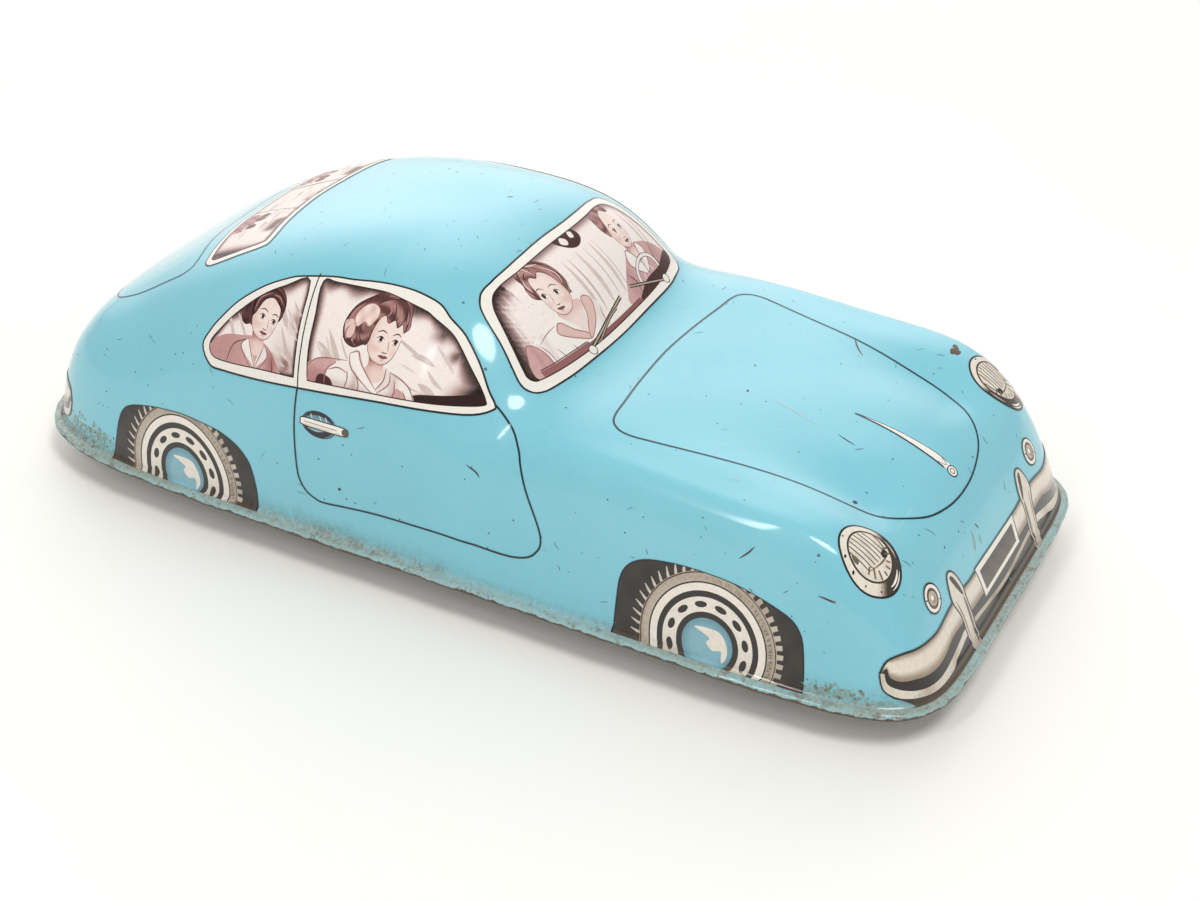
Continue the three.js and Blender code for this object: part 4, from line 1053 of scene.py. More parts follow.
def side_windows(side, sign):
    art = Print(f"side_windows_{side}", side_chart(sign), 0.6, LIFT * 1.5)
    art.edged(SIDE_FRAME, "cream", 0.15, FRAME_EDGE)
    art.stroke([(33.1, 50.9), (31.7, 44.4), (30.2, 32.5)], 0.3, "line", 0.3)

    quarter_edge = edge_distance(curve(QUARTER_GLASS))

    def quarter_shade(y, z):
        near = quarter_edge(y, z)
        top = 0.95 * dark_edge(near, 0.95 + 0.4 * math.sin(y * 0.7))
        corner = 0.7 * bell(y, 34, 1.6) * bell(z, 36, 2.5) + 0.6 * bell(y, 34, 1.2) * bell(z, 43.5, 1.6)
        return 0.02 + max(top, corner) + 0.12 * bell(y, 36.5, 2) * fade(z, 46, 36)

    quarter = art.fill(QUARTER_GLASS, "glass", quarter_shade)
    glints(art, quarter, (34, 36), (38, 47), 7, 0.9)
    glints(art, quarter, (46, 35), (52, 40), 3, 0.9)
    quarter_rider(art, quarter)
    art.stroke(QUARTER_GLASS, 0.24, "brown", 0.7, closed=True)

    door_edge = edge_distance(curve(DOOR_GLASS))

    def door_shade(y, z):
        near = door_edge(y, z)
        rim = 0.95 * dark_edge(near, 1.0 + 0.35 * math.sin(y * 0.9) + 1.3 * fade(-y, 1, 8))
        corner = fade(-y, 0, 8) * fade(40.5 - z - y * 0.3, 0, 4)
        patches = 0.9 * (bell(y, 1.6, 1.7) * bell(z, 47.2, 1.1) + bell(y, -2.4, 1.3) * bell(z, 44.3, 1.0)
                         + bell(y, 8.5, 2.6) * bell(z, 49.8, 0.8) + bell(y, -6.5, 1.2) * bell(z, 40.5, 1.6))
        return 0.02 + max(rim, corner, patches)

    door = art.fill(DOOR_GLASS, "glass", door_shade)
    glints(art, door, (-1, 38.5), (8, 46), 8, 0.5)
    glints(art, door, (20, 38), (28, 49), 8, 0.8)
    art.fill([(4.6, 35.9), (3.4, 37.4), (-2.5, 38.1), (-8.4, 38.5), (-10.8, 37.2), (-9.8, 36.4)], "brown",
             0.75, door)
    door_rider(art, door)
    art.stroke(DOOR_GLASS, 0.24, "brown", 0.7, closed=True)
    return art.lay()


# ---------------------------------------------------------------- windscreen
SCREEN_FRAME = [(0, 54.2), (10, 54.05), (15, 53.8), (18.6, 53.45), (21, 53.05), (23.1, 52.6), (25, 51.9),
                (27, 50.6), (28.6, 48.5), (30, 45.3), (31.3, 42), (32.1, 39.5), (31.9, 38.2),
                (30.3, 37.5), (25, 37.6), (15, 37.65), (5, 37.5), (0, 37.45)]
SCREEN_GLASS = [(0, 53.3), (10, 53.2), (15, 53.0), (18.5, 52.75), (21.3, 52.3), (23.5, 51.6),
                (25.2, 50.5), (26.5, 49.0), (28, 46.3), (29.2, 43.4), (30, 41), (30.2, 39.9),
                (29.5, 39.1), (28, 39), (20, 39), (10, 38.75), (0, 38.65)]


def guest(art, glass):
    """The passenger beside the driver: waved hair and a light jacket with rose edges."""
    jacket = [(-27, 38.9), (-26.5, 43), (-22, 45), (-17, 46), (-13.5, 46.5), (-8, 46), (-4, 45), (-2.2, 43),
              (-3, 40), (-6, 38.9)]
    art.fill(jacket, "blouse", lambda x, z: 0.05 + 0.3 * bell(x, -22, 0.8) + 0.3 * bell(x, -4, 1.5), glass)
    sleeve = [(-28.4, 39), (-28.3, 41.5), (-26.4, 44.2), (-24.6, 43.6), (-23.4, 41.5), (-23.6, 39)]
    art.fill(sleeve, "rose", lambda x, z: 0.2 * bell(x, -25.6, 0.5) + 0.15 * fade(x, -25, -23.4), glass)
    art.stroke(sleeve[1:], 0.22, "rose", 0.6, glass)
    head = Sitter(art, (-12.3, 45.3), 7.3, -1, glass, -0.12, 1.6)
    head.locks([(-0.34, 0.36), (-0.41, 0.46), (-0.46, 0.76), (-0.38, 1.0), (-0.2, 1.1), (-0.05, 1.13),
                (0.12, 1.17), (0.28, 1.08), (0.42, 0.94), (0.42, 0.78), (0.47, 0.64), (0.38, 0.46)],
               (0.0, 0.6), 4, 0.25)
    art.fill([(-15.0, 46.4), (-12.6, 43.4), (-10.0, 40.9), (-8.2, 43.6), (-7.2, 46.2)], "skin",
             lambda x, z: 0.1 + 0.35 * fade(z, 43.8, 45.8), glass)
    left = [(-17.2, 44.7), (-17.8, 43.5), (-14.2, 41.5), (-10.6, 40), (-10.5, 41), (-13.4, 42.8),
            (-15.8, 44.9)]
    right = [(-5, 45.9), (-3.9, 44.6), (-6.2, 41.8), (-10.2, 40), (-9.9, 41.2), (-7.6, 43.4), (-6.6, 45.7)]
    for lapel in (left, right):
        art.edged(lapel, "skin", 0.5, 0.26, "rose", 0.5, glass)
    head.face()
    head.locks([(-0.34, 0.4), (-0.42, 0.64), (-0.36, 0.94), (-0.1, 1.08), (0.2, 1.06), (0.36, 0.88),
                (0.37, 0.62), (0.32, 0.52), (0.3, 0.76), (0.2, 0.88), (0.08, 0.84), (-0.04, 0.93),
                (-0.18, 0.86), (-0.28, 0.66)], (0.1, 0.6), 4, 0.15, 5)
    head.strands([[(-0.46, 0.5), (-0.44, 0.8), (-0.26, 1.02)], [(0.4, 0.55), (0.4, 0.8), (0.26, 1.0)],
                  [(-0.16, 0.9), (-0.04, 0.99), (0.06, 1.08)], [(0.16, 0.9), (0.1, 1.0), (0.18, 1.06)]],
                 0.05)
    head.strands([[(-0.38, 0.46), (-0.46, 0.7), (-0.34, 0.96)], [(0.36, 0.5), (0.43, 0.72), (0.34, 0.94)],
                  [(-0.3, 1.02), (-0.02, 1.1), (0.26, 1.04)], [(-0.02, 0.86), (0.06, 0.96), (0.0, 1.08)],
                  [(0.3, 0.8), (0.26, 0.92), (0.16, 0.98)]], 0.035, 0.95)
    head.strands([[(-0.36, 0.6), (-0.38, 0.82), (-0.2, 1.0)], [(0.04, 0.9), (0.16, 1.04), (0.3, 0.98)],
                  [(0.36, 0.62), (0.39, 0.76), (0.33, 0.88)], [(-0.2, 1.05), (0.0, 1.06), (0.14, 1.12)]],
                 0.045, 0.3, "skin")
    for fold in ([(-24.2, 44), (-22.8, 42), (-22.4, 39.6)], [(-20.6, 42), (-19.4, 39.8)],
                 [(-16.2, 41), (-15.4, 39.2)], [(-2.4, 43.4), (-3.4, 41.5), (-3.0, 39.6)],
                 [(-17.4, 45), (-20.5, 44.6), (-23.6, 43.6)]):
        art.stroke(fold, 0.2, "rose", 0.7, glass, ends=(0.2, 0.2))


def driver(art, glass):
    """The driver, leaning over a light steering wheel."""
    jacket = [(7.6, 39.2), (8.2, 42), (12, 44.8), (15.4, 46.5), (19.6, 46.4), (24, 44.9), (28, 42),
              (29.6, 39.6), (28, 38.9)]
    art.fill(jacket, "rose", lambda x, z: 0.2 * bell(x, 11, 1.6) + 0.2 * bell(x, 25, 1.6), glass)
    head = Sitter(art, (17.6, 46.4), 6.3, 1, glass, 0.08, 1.4)
    head.neck()
    for lapel in ([(15.2, 46.6), (13.6, 44.4), (17.6, 41.2), (17.4, 44)],
                  [(19.8, 46.4), (21.4, 44.2), (18, 41.2), (18.6, 44)]):
        art.edged(lapel, "blouse", 0.1, 0.25, "rose", 0.8, glass)
    head.face()
    head.locks([(-0.36, 0.42), (-0.5, 0.66), (-0.42, 1.0), (-0.1, 1.14), (0.26, 1.08), (0.4, 0.86),
                (0.3, 0.84), (0.1, 0.94), (-0.12, 0.86), (-0.26, 0.62)], (-0.3, 0.9), 3, 0.25, 4)
    head.strands([[(-0.44, 0.6), (-0.38, 0.9), (-0.1, 1.06)], [(0.06, 0.98), (0.22, 0.98), (0.32, 0.9)]],
                 0.06)
    for fold in ([(10.6, 43.8), (12.2, 41.8), (11.8, 39.8)], [(24.6, 44.4), (23.2, 42), (24.4, 39.8)]):
        art.stroke(fold, 0.3, "brown", 0.1, glass, ends=(0.2, 0.2))
    art.fill([(11, 38.8), (13, 40.2), (17, 40.9), (22, 40.7), (28.6, 40.9), (29.6, 39.2)], "brown",
             lambda x, z: 0.2 + 0.4 * math.sin(x * 3.1) * math.sin(z * 4.7), glass)
    angles = np.linspace(-0.1, math.pi + 0.1, 14)
    for radius, width, paint, tone in ((1.0, 0.9, "blouse", 0.15), (1.1, 0.16, "brown", 0.3),
                                       (0.9, 0.16, "brown", 0.3)):
        rim = [(18.2 + 4.6 * radius * math.cos(a), 41.0 + 3.2 * radius * math.sin(a)) for a in angles]
        art.stroke(rim, width, paint, tone, glass)
    for x in (15.6, 17.4, 20.0):
        art.stroke([(x, 41.0), (18.3, 43.6)], 0.25, "blouse", 0.3, glass, smooth=0)


def windscreen():
    art = Print("windscreen", front_chart, 0.5, LIFT * 1.5)
    art.edged(both_halves(SCREEN_FRAME), "cream", 0.15, FRAME_EDGE)
    outline = both_halves(SCREEN_GLASS)
    edge = edge_distance(curve(outline))

    def shade(x, z):
        near = edge(x, z)
        pillar = 0.0
        if x < -20:
            ragged = 0.35 * math.sin(5.1 * x + 3.7 * z) * math.sin(4.3 * z - 2.9 * x)
            pillar = 0.97 * dark_edge(near * (1 + ragged), 1.3 + 1.9 * fade(47 - z, -3, 7))
        thin = 0.75 * dark_edge(near, 0.55)
        below = 0.8 * fade(x, 6, 14) * dark_edge(z - 38.7, 1.6)
        return 0.02 + max(thin, pillar, below)

    glass = art.fill(outline, "glass", shade)

    for x, width, tone in ((-3.2, 1.1, 0.4), (-1.2, 0.6, 0.8), (2.2, 1.3, 0.3), (5.0, 0.3, 0.9),
                           (7.4, 1.0, 0.3), (8.8, 0.25, 0.8), (23.5, 0.8, 0.4), (25.2, 0.5, 0.6)):
        art.stroke([(x, 41.5), (x + 0.3, 46), (x - 0.2, 51)], width, "streak", tone, glass, ends=(0.1, 0.1))
    guest(art, glass)
    driver(art, glass)
    art.stroke([(-27.2, 39.5), (-20, 39.6), (-12, 39.4)], 1.5, "rose", 0.7, glass)
    art.stroke([(-27.0, 40.2), (-20, 40.3), (-12.5, 40.1)], 0.22, "brown", 0.2, glass)
    art.stroke([(-12, 39.3), (0, 39.1), (10, 39.2)], 1.0, "rose", 0.8, glass)

    # mirror
    art.fill([(-0.5, 53.5), (1.5, 51.9), (4.2, 51.3), (6.8, 51.8), (7.4, 52.8), (5.6, 53.6)], "brown",
             0.3, glass)
    art.fill([(1.0, 52.6), (2.4, 52.1), (3.2, 52.7), (2.0, 53.2)], "blouse", 0.2, glass)
    art.fill([(4.6, 52.6), (5.6, 52.4), (6.2, 53.0), (5.2, 53.2)], "blouse", 0.2, glass)
    art.stroke(outline, 0.26, "brown", 0.7, closed=True)

    # wipers
    for path, width in (([(-12.2, 38.8), (-4, 40.3), (4.6, 41.8)], 0.95),
                        ([(-8, 39.0), (-2.5, 40.4), (1.5, 40.9)], 0.7),
                        ([(9.2, 42.0), (15, 40.4), (21.6, 38.5)], 0.8)):
        art.stroke(path, width, "brown", 0.8, smooth=3)
        art.stroke(path, width * 0.42, "chrome", 0.45, smooth=3)
    for x in (-12.4, 21.8):
        art.edged(ellipse((x, 38.6), 1.1, 0.7, 16), "cream", 0.2, 0.22, smooth=0)
    return art.lay()


# ---------------------------------------------------------------- rear window and engine lid
REAR_FRAME_EDGE = 0.36
REAR_FRAME = [(0, 54), (8.3, 53.2), (16, 52.1), (22.1, 51.2), (24.6, 52.2), (26.8, 58.3), (27.9, 63.2),
              (27.5, 65.3), (25.8, 66.4), (19.5, 67.4), (10, 68.9), (0, 69.6)]


def rear_window():
    art = Print("rear_window", top_chart, 0.9, LIFT * 1.5)
    art.edged(both_halves(REAR_FRAME), "cream", 0.15, REAR_FRAME_EDGE)
    glass_half = [(0, 55.2), (8.3, 54.4), (16, 53.4), (21.7, 52.6), (23.4, 53.4), (25.4, 58.6),
                  (26.5, 63.2), (26.2, 64.6), (25, 65.2), (19.3, 66.2), (9.9, 67.6), (0, 68.3)]
    outline = both_halves(glass_half)
    edge = edge_distance(curve(outline))

    def shade(x, y):
        seat = 0.85 * fade(math.sin(x * 0.42 + 2), 0.1, 0.7) * bell(y, 55.2, 1.5)
        return 0.06 + max(0.85 * dark_edge(edge(x, y), 0.6), seat, 0.9 * bell(abs(x), 25.4, 1.5))

    glass = art.fill(outline, "glass", shade)
    for side in (-1, 1):
        backs = [(side * x, y) for x, y in ((-17, 66.4), (-17.4, 63.6), (-15.5, 61.4), (-13.4, 62.4),
                                            (-12.4, 60.6), (-10.4, 61.2), (-9.6, 63.4), (-8.6, 66.8))]
        art.fill(backs, "rose", lambda x, y: 0.45 + 0.5 * math.sin(x * 2.1) * math.sin(y * 1.7), glass)
        for x in (-15.6, -12.2, -10.0):
            art.fill(ellipse((side * x, 62.0), 1.0, 1.2, 12), "hair", 0.65, glass)
        art.stroke([(side * 8.4, 54.6), (side * 6.5, 68.4)], 0.3, "brown", 0.6, glass, smooth=0)
    glints(art, glass, (-22, 56), (22, 64), 26, 0.15)
    art.stroke(outline, 0.24, "brown", 0.5, closed=True)
    return art.lay()


def panel_lines():
    """Seams of the bonnet and the engine lid."""
    art = Print("panel_lines", top_chart)
    middle = -0.8
    half = [(0, -30.7), (12, -31.3), (21, -32.3), (27.8, -33.2), (30.4, -35.4), (31, -38.5), (30.4, -43),
            (28.9, -52), (27.3, -62), (25.4, -73), (23.8, -83), (21.3, -88.8), (15.5, -93.5), (8, -95.6),
            (0, -96.2)]
    art.stroke([(middle + x, y) for x, y in both_halves(half)], 0.42, "panel_line", 0.4, smooth=6,
               closed=True)
    lid = [(0, 73.7), (14, 72.6), (24.6, 69.9), (27.8, 71.2), (28.6, 77), (29, 86), (27, 92), (20, 96),
           (8, 99), (0, 99.6)]
    art.stroke(both_halves(lid), 0.36, "panel_line", 0.3, smooth=6, closed=True)

    # the bonnet handle: a long taper ending in a ring
    taper = [(0.6, -72.4), (0.6, -72.4), (1.0, -80), (1.5, -88), (1.5, -92), (-0.3, -92), (-0.3, -88),
             (0.2, -80)]
    art.fill(taper, "cream", 0.05)
    art.stroke([(0.55, -72.0), (0.1, -80), (-0.45, -88), (-0.5, -91.6)], 0.4, "line", 0.2)
    art.stroke([(0.65, -72.0), (1.1, -80), (1.6, -88), (1.6, -91.6)], 0.2, "line", 0.1)
    end = (0.6, -93.1)
    art.disc(end, 1.45, 1.05, "line", 0.1, 20)
    art.disc(end, 1.2, 0.85, "cream", 0.1, 20)
    art.ring(end, 0.75, 0.5, "chrome", 0.85, 16, 0.72)
    art.stroke([(-0.3, -90.2), (0.6, -91.7), (1.5, -90.4)], 0.2, "chrome", 0.8)
    return art.lay()


DOOR_LINE = [(30.3, 32.8), (30.5, 26), (30.3, 20), (29.9, 14.5), (29.3, 12), (27.8, 9.8), (25.5, 8.6),
             (23.5, 8.35), (18, 9), (11, 9.7), (3, 10), (-5, 10.05), (-10, 9.6), (-16, 9.35), (-21, 9.6),
             (-24.5, 10.8), (-26.3, 12.8), (-26.8, 14.6), (-26.3, 17), (-24.5, 20.5), (-22.3, 24.3),
             (-20.3, 28.5), (-19.3, 30.7), (-17.3, 33), (-14.3, 35), (-11.9, 36.8)]


def door(side, sign):
    art = Print(f"door_lines_{side}", side_chart(sign))
    art.stroke(DOOR_LINE, 0.42, "panel_line", 0.4)
    recess = ellipse((24.4, 26.3), 4.1, 2.7, 32)
    art.fill(recess, "cap", lambda y, z: 0.2 + 0.9 * fade(z, 26.2, 28.4) + 0.5 * bell(y, 27.6, 1), smooth=0)
    art.stroke(ellipse((24.4, 26.3), 3.7, 2.3, 32)[1:16], 0.7, "line", 0.2, smooth=0, ends=(0.3, 0.3))
    art.fill([(28.1, 25.6), (27.4, 24.6), (25.8, 23.8), (23.6, 23.75), (21.8, 24.5), (20.6, 25.7),
              (22.4, 25.4), (24.6, 24.7), (26.6, 24.9)], "line", 0.3)
    for y in (22.4, 23.8, 26.0):
        art.stroke([(y + 0.5, 28.3), (y, 27.3)], 0.22, "cream", 0.2, ends=(0.3, 0.3))
    art.stroke(recess, 0.25, "line", 0.3, smooth=0, closed=True)
    bar = [(28.4, 27.0), (23, 27.2), (18.2, 27.2), (17.3, 26.4), (18, 25.5), (23, 25.3), (28.4, 25.4),
           (28.9, 26.2)]
    art.edged(bar, "cream", lambda y, z: 0.05 + 0.9 * fade(25.9 - z, 0, 0.6), 0.24)
    art.disc((18.1, 26.3), 0.75, 0.75, "chrome", 0.9, 14)
    art.stroke([(28, 26.2), (20, 26.3)], 0.2, "chrome", 0.6, smooth=0)
    return art.lay()


# ---------------------------------------------------------------- printed wheels
FRONT_ARCH = [(-44, 0.6), (-44, 0.6), (-44.2, 8), (-44.6, 13), (-46, 16), (-49, 18), (-54, 19),
              (-60, 19.3), (-67, 18.9), (-72, 17.9), (-77, 16.3), (-80, 14.8), (-82, 12.2), (-83, 8),
              (-83.8, 0.6), (-83.8, 0.6)]
REAR_ARCH = [(80.8, 0.6), (80.8, 0.6), (80, 5), (78.5, 11.5), (76, 14.5), (70, 16.2), (65, 17),
             (60, 17.5), (53, 17.3), (49.7, 16.9), (46, 15.5), (43.5, 13.5), (42, 11), (41, 6), (41, 0.6),
             (41, 0.6)]
FRONT_WHEEL_CENTRE, REAR_WHEEL_CENTRE = (-63.8, 4.5), (60.4, 3.9)
WHEEL_STRETCH = 1.07
SLOTS, SLOT_RADIUS = 12, 7.95
LUGS = 50
CAP_RADIUS = 5.3
# outer radius, inner radius, ink, tone and steps of each ring
WHEEL_RINGS = ((14.15, 13.95, "brown", 0.4, 72), (12.35, 12.05, "arch", 0.8, 72),
               (12.05, 10.5, "disc", 0.05, 72), (10.6, 9.35, "arch", 0.4, 64))


def printed_wheel(name, sign, arch, centre):
    art = Print(name, side_chart(sign), 0.7, foot=PRINT_FOOT)
    dark = art.fill(arch, "arch", lambda y, z: 0.3 + 0.5 * math.sin(y * 0.9) * math.sin(z * 0.7))
    art.stroke(arch, 0.35, "line", 0.8)

    def spot(radius, degrees):
        a = math.radians(degrees)
        return centre[0] + radius * math.cos(a), centre[1] + radius * WHEEL_STRETCH * math.sin(a)

    # tread: light lugs, crisp on the front half and thin slanting dashes behind
    for k in range(LUGS):
        degrees = 360 * k / LUGS
        ahead = math.cos(math.radians(degrees)) < 0
        if ahead:
            corners = [spot(13.6, degrees - 2.3), spot(15.6, degrees - 2.0), spot(15.5, degrees + 1.7),
                       spot(13.6, degrees + 2.3)]
            art.fill(corners, "tyre", 0.05 + 0.25 * rng.random(), dark, smooth=0)
        else:
            path = [spot(13.4, degrees - 1.5), spot(14.8, degrees), spot(16.2, degrees + 2.0)]
            art.stroke(path, 0.6, "tyre", 0.0, dark, smooth=0, ends=(1, 0.3))

    def wall(y, z):
        dy, dz = (y - centre[0]), (z - centre[1]) / WHEEL_STRETCH
        r, a = math.hypot(dy, dz), math.atan2(dz, dy)
        front = 0.5 - 0.5 * math.cos(a)
        return 0.18 + 0.75 * bell(r, 13.0, 0.45) * front + 0.3 * (1 - front) * fade(r, 13.4, 14.2)
    art.ring(centre, 14.3, 11.9, "tyre", wall, 72, WHEEL_STRETCH, dark)
    for outer, inner, paint, tone, steps in WHEEL_RINGS:
        art.ring(centre, outer, inner, paint, tone, steps, WHEEL_STRETCH, dark)
    art.ring(centre, 9.4, 6.4, "disc", lambda y, z: 0.12 + 0.3 * fade(centre[1] - z, -2, 5), 64,
             WHEEL_STRETCH, dark)
    for k in range(SLOTS):
        degrees = 360 * (k + 0.5) / SLOTS
        turn = math.atan2(WHEEL_STRETCH * math.cos(math.radians(degrees)), -math.sin(math.radians(degrees)))
        art.fill(ellipse(spot(SLOT_RADIUS, degrees), 1.3, 0.68, 14, turn), "arch", 0.5, dark, smooth=0)
    art.ring(centre, 6.5, 5.2, "arch", 0.4, 48, WHEEL_STRETCH, dark)

    def cap(y, z):
        return 0.25 + 0.5 * bell(math.hypot(y - centre[0], z - centre[1]), CAP_RADIUS, 1.2)
    art.fill(ellipse(centre, CAP_RADIUS, CAP_RADIUS * WHEEL_STRETCH, 48), "cap", cap, dark, smooth=0)
    blotch = [(2.9, 3.2), (0.4, 3.6), (-2.4, 3.3), (-4.0, 1.0), (-4.2, -1.6), (-3.3, -3.0), (-2.9, -0.6),
              (-1.2, -1.0), (0.2, 0.4), (-0.4, 1.5), (1.0, 2.3)]
    art.fill([(centre[0] + y, centre[1] + z) for y, z in blotch], "disc", 0.1, dark)
    return art.lay()


# ---------------------------------------------------------------- bumpers, lamps and plate
BUMPER_TOP = [(49.3, 7.5), (48, 10.1), (44.6, 11), (40.5, 10.9), (35.3, 10.8), (31.2, 10.9), (27.4, 11.5),
              (23.1, 11.9), (16.2, 11.6), (12.8, 11.4), (0, 11.4)]
LIP_OUTER = [(49.3, 7.4), (48.5, 4.6), (46.7, 3.1), (43.8, 2.4), (40.6, 2.0), (37.2, 1.7), (33.4, 1.8),
             (29.1, 2.6), (24.7, 3.5), (21.7, 4.1), (16.4, 4.1), (8.7, 3.4), (0, 2.8)]
LIP_INNER = [(48.2, 7.4), (47.5, 5.6), (45.6, 4.6), (43, 3.9), (40, 3.4), (36.3, 3.2), (32.7, 3.6),
             (28.7, 4.5), (24.3, 5.4), (21.8, 5.8), (16.2, 5.3), (8.1, 4.5), (0, 4.0)]
RECESS_TOP = [(48.0, 8.6), (47.2, 6.9), (45, 5.9), (41.6, 5.7), (38, 5.4), (33.9, 5.5), (30.3, 6.3),
              (27, 7.2), (22, 7.2), (16, 6.8), (0, 6.4)]
PARKING_LAMP = (28.8, 15.9)


def across(half):
    """The whole line from its half, which runs inwards from positive u to 0."""
    return [(u, v) for u, v in half] + [(-u, v) for u, v in half[-2::-1]]


def along_u(half):
    us, vs = zip(*half[::-1])
    return lambda u: float(np.interp(abs(u), us, vs))


def parking_lamp(art, u, z):
    art.disc((u, z), 3.15, 2.65, "line", 0.1, 32)
    art.disc((u, z), 2.8, 2.32, "cream", 0.15, 32)
    art.ring((u, z), 2.05, 1.45, "chrome", 0.92, 28, 0.86)
    art.disc((u, z), 1.5, 1.25, "chrome", 0.4, 24)
    art.disc((u + 0.2, z - 0.2), 0.9, 0.75, "chrome", 0.62, 18)
    art.disc((u - 0.1, z + 0.15), 0.55, 0.45, "cream", 0.1, 14)
    art.stroke([(u + 2.0, z - 1.1), (u + 2.6, z - 1.2)], 0.3, "line", 0.2, smooth=0)
    art.stroke([(u - 2.6, z + 0.6), (u - 2.0, z + 0.5)], 0.3, "line", 0.2, smooth=0)


def bumper(name, end, reach=1.0):
    wall = band_chart(end)
    art = Print(name, lambda u, z: wall(u * reach, z), 0.6, LIFT * 2, foot=PRINT_FOOT)
    top, recess = along_u(BUMPER_TOP), along_u(RECESS_TOP)
    art.fill(across(BUMPER_TOP) + across([(48.5, 4.6), (45.6, 2.8), (42.0, 0.9), (41.0, -0.6),
                                          (41.0, -0.6)])[::-1], "shadow",
             lambda u, z: 0.9 - 0.75 * fade(3.5 - z, 0, 3.0) * (1 - fade(abs(u), 38, 46)))

    def gleam(u, z):
        v = (z - recess(u)) / (top(u) - recess(u))
        return 0.06 + 0.62 * fade(v, 0.72, 1.0) + 0.6 * fade(0.42 - v, 0, 0.4)
    art.fill(across(BUMPER_TOP) + across(RECESS_TOP)[::-1], "chrome", gleam)
    art.fill(across(RECESS_TOP) + across(LIP_INNER)[::-1], "shadow", 0.95)
    art.fill(across(LIP_INNER) + across(LIP_OUTER)[::-1], "chrome",
             lambda u, z: 0.12 + 0.3 * fade(abs(u), 20, 10) + 0.25 * bell(u % 11, 5, 2))
    art.stroke(across(LIP_INNER), 0.25, "line", 0.4)
    art.stroke(across(LIP_OUTER), 0.3, "line", 0.4)
    art.stroke(across(BUMPER_TOP), 0.45, "line", 0.3)

    plate = [(-10.5, 11.8), (-10.5, 11.8), (11.3, 11.4), (11.3, 11.4), (11, 5.6), (11, 5.6), (-9.6, 5.4),
             (-9.6, 5.4)]
    art.edged(plate, "cream", 0.2, 0.35)
    field = [(-8.9, 10.5), (-8.9, 10.5), (9.9, 10.3), (9.9, 10.3), (9.6, 6.6), (9.6, 6.6), (-8.4, 6.4),
             (-8.4, 6.4)]
    art.fill(field, "shadow", lambda u, z: 0.15 + 0.35 * bell(z, 10, 1.5) + 0.15 * math.sin(u * 1.3 + z))

    for side in (-1, 1):
        def here(points):
            return [(-side * u, z) for u, z in points]
        guard = here([(-21.2, 16), (-18.8, 15.9), (-17.2, 12.7), (-17.3, 10.1), (-17.0, 6.6), (-16.9, 1.4),
                      (-17.5, -0.3), (-20.4, 0.3), (-21.1, 3.4), (-21.5, 8.3), (-22.9, 12.1)])
        art.edged(guard, "chrome", lambda u, z: 0.1 + 0.25 * fade(6 - z, 0, 5), 0.42)
        art.fill(here([(-20.6, 15.3), (-19.4, 15.2), (-18.2, 12.6), (-18.0, 10.8), (-19.2, 12.2)]),
                 "shadow", 0.7)
        art.stroke(here([(-18.2, 10.6), (-18.0, 7), (-17.8, 1)]), 0.9, "chrome", 0.85, ends=(0.4, 0.6))
        art.stroke(here([(-21.6, 11.4), (-20.7, 8), (-20.2, 3)]), 0.5, "chrome", 0.7, ends=(0.3, 0.3))

        parking_lamp(art, side * PARKING_LAMP[0], PARKING_LAMP[1])
    return art.lay()


LAMP_X, LAMP_Y = 35.3, -90.1
BEZEL = 5.4  # middle of the bezel


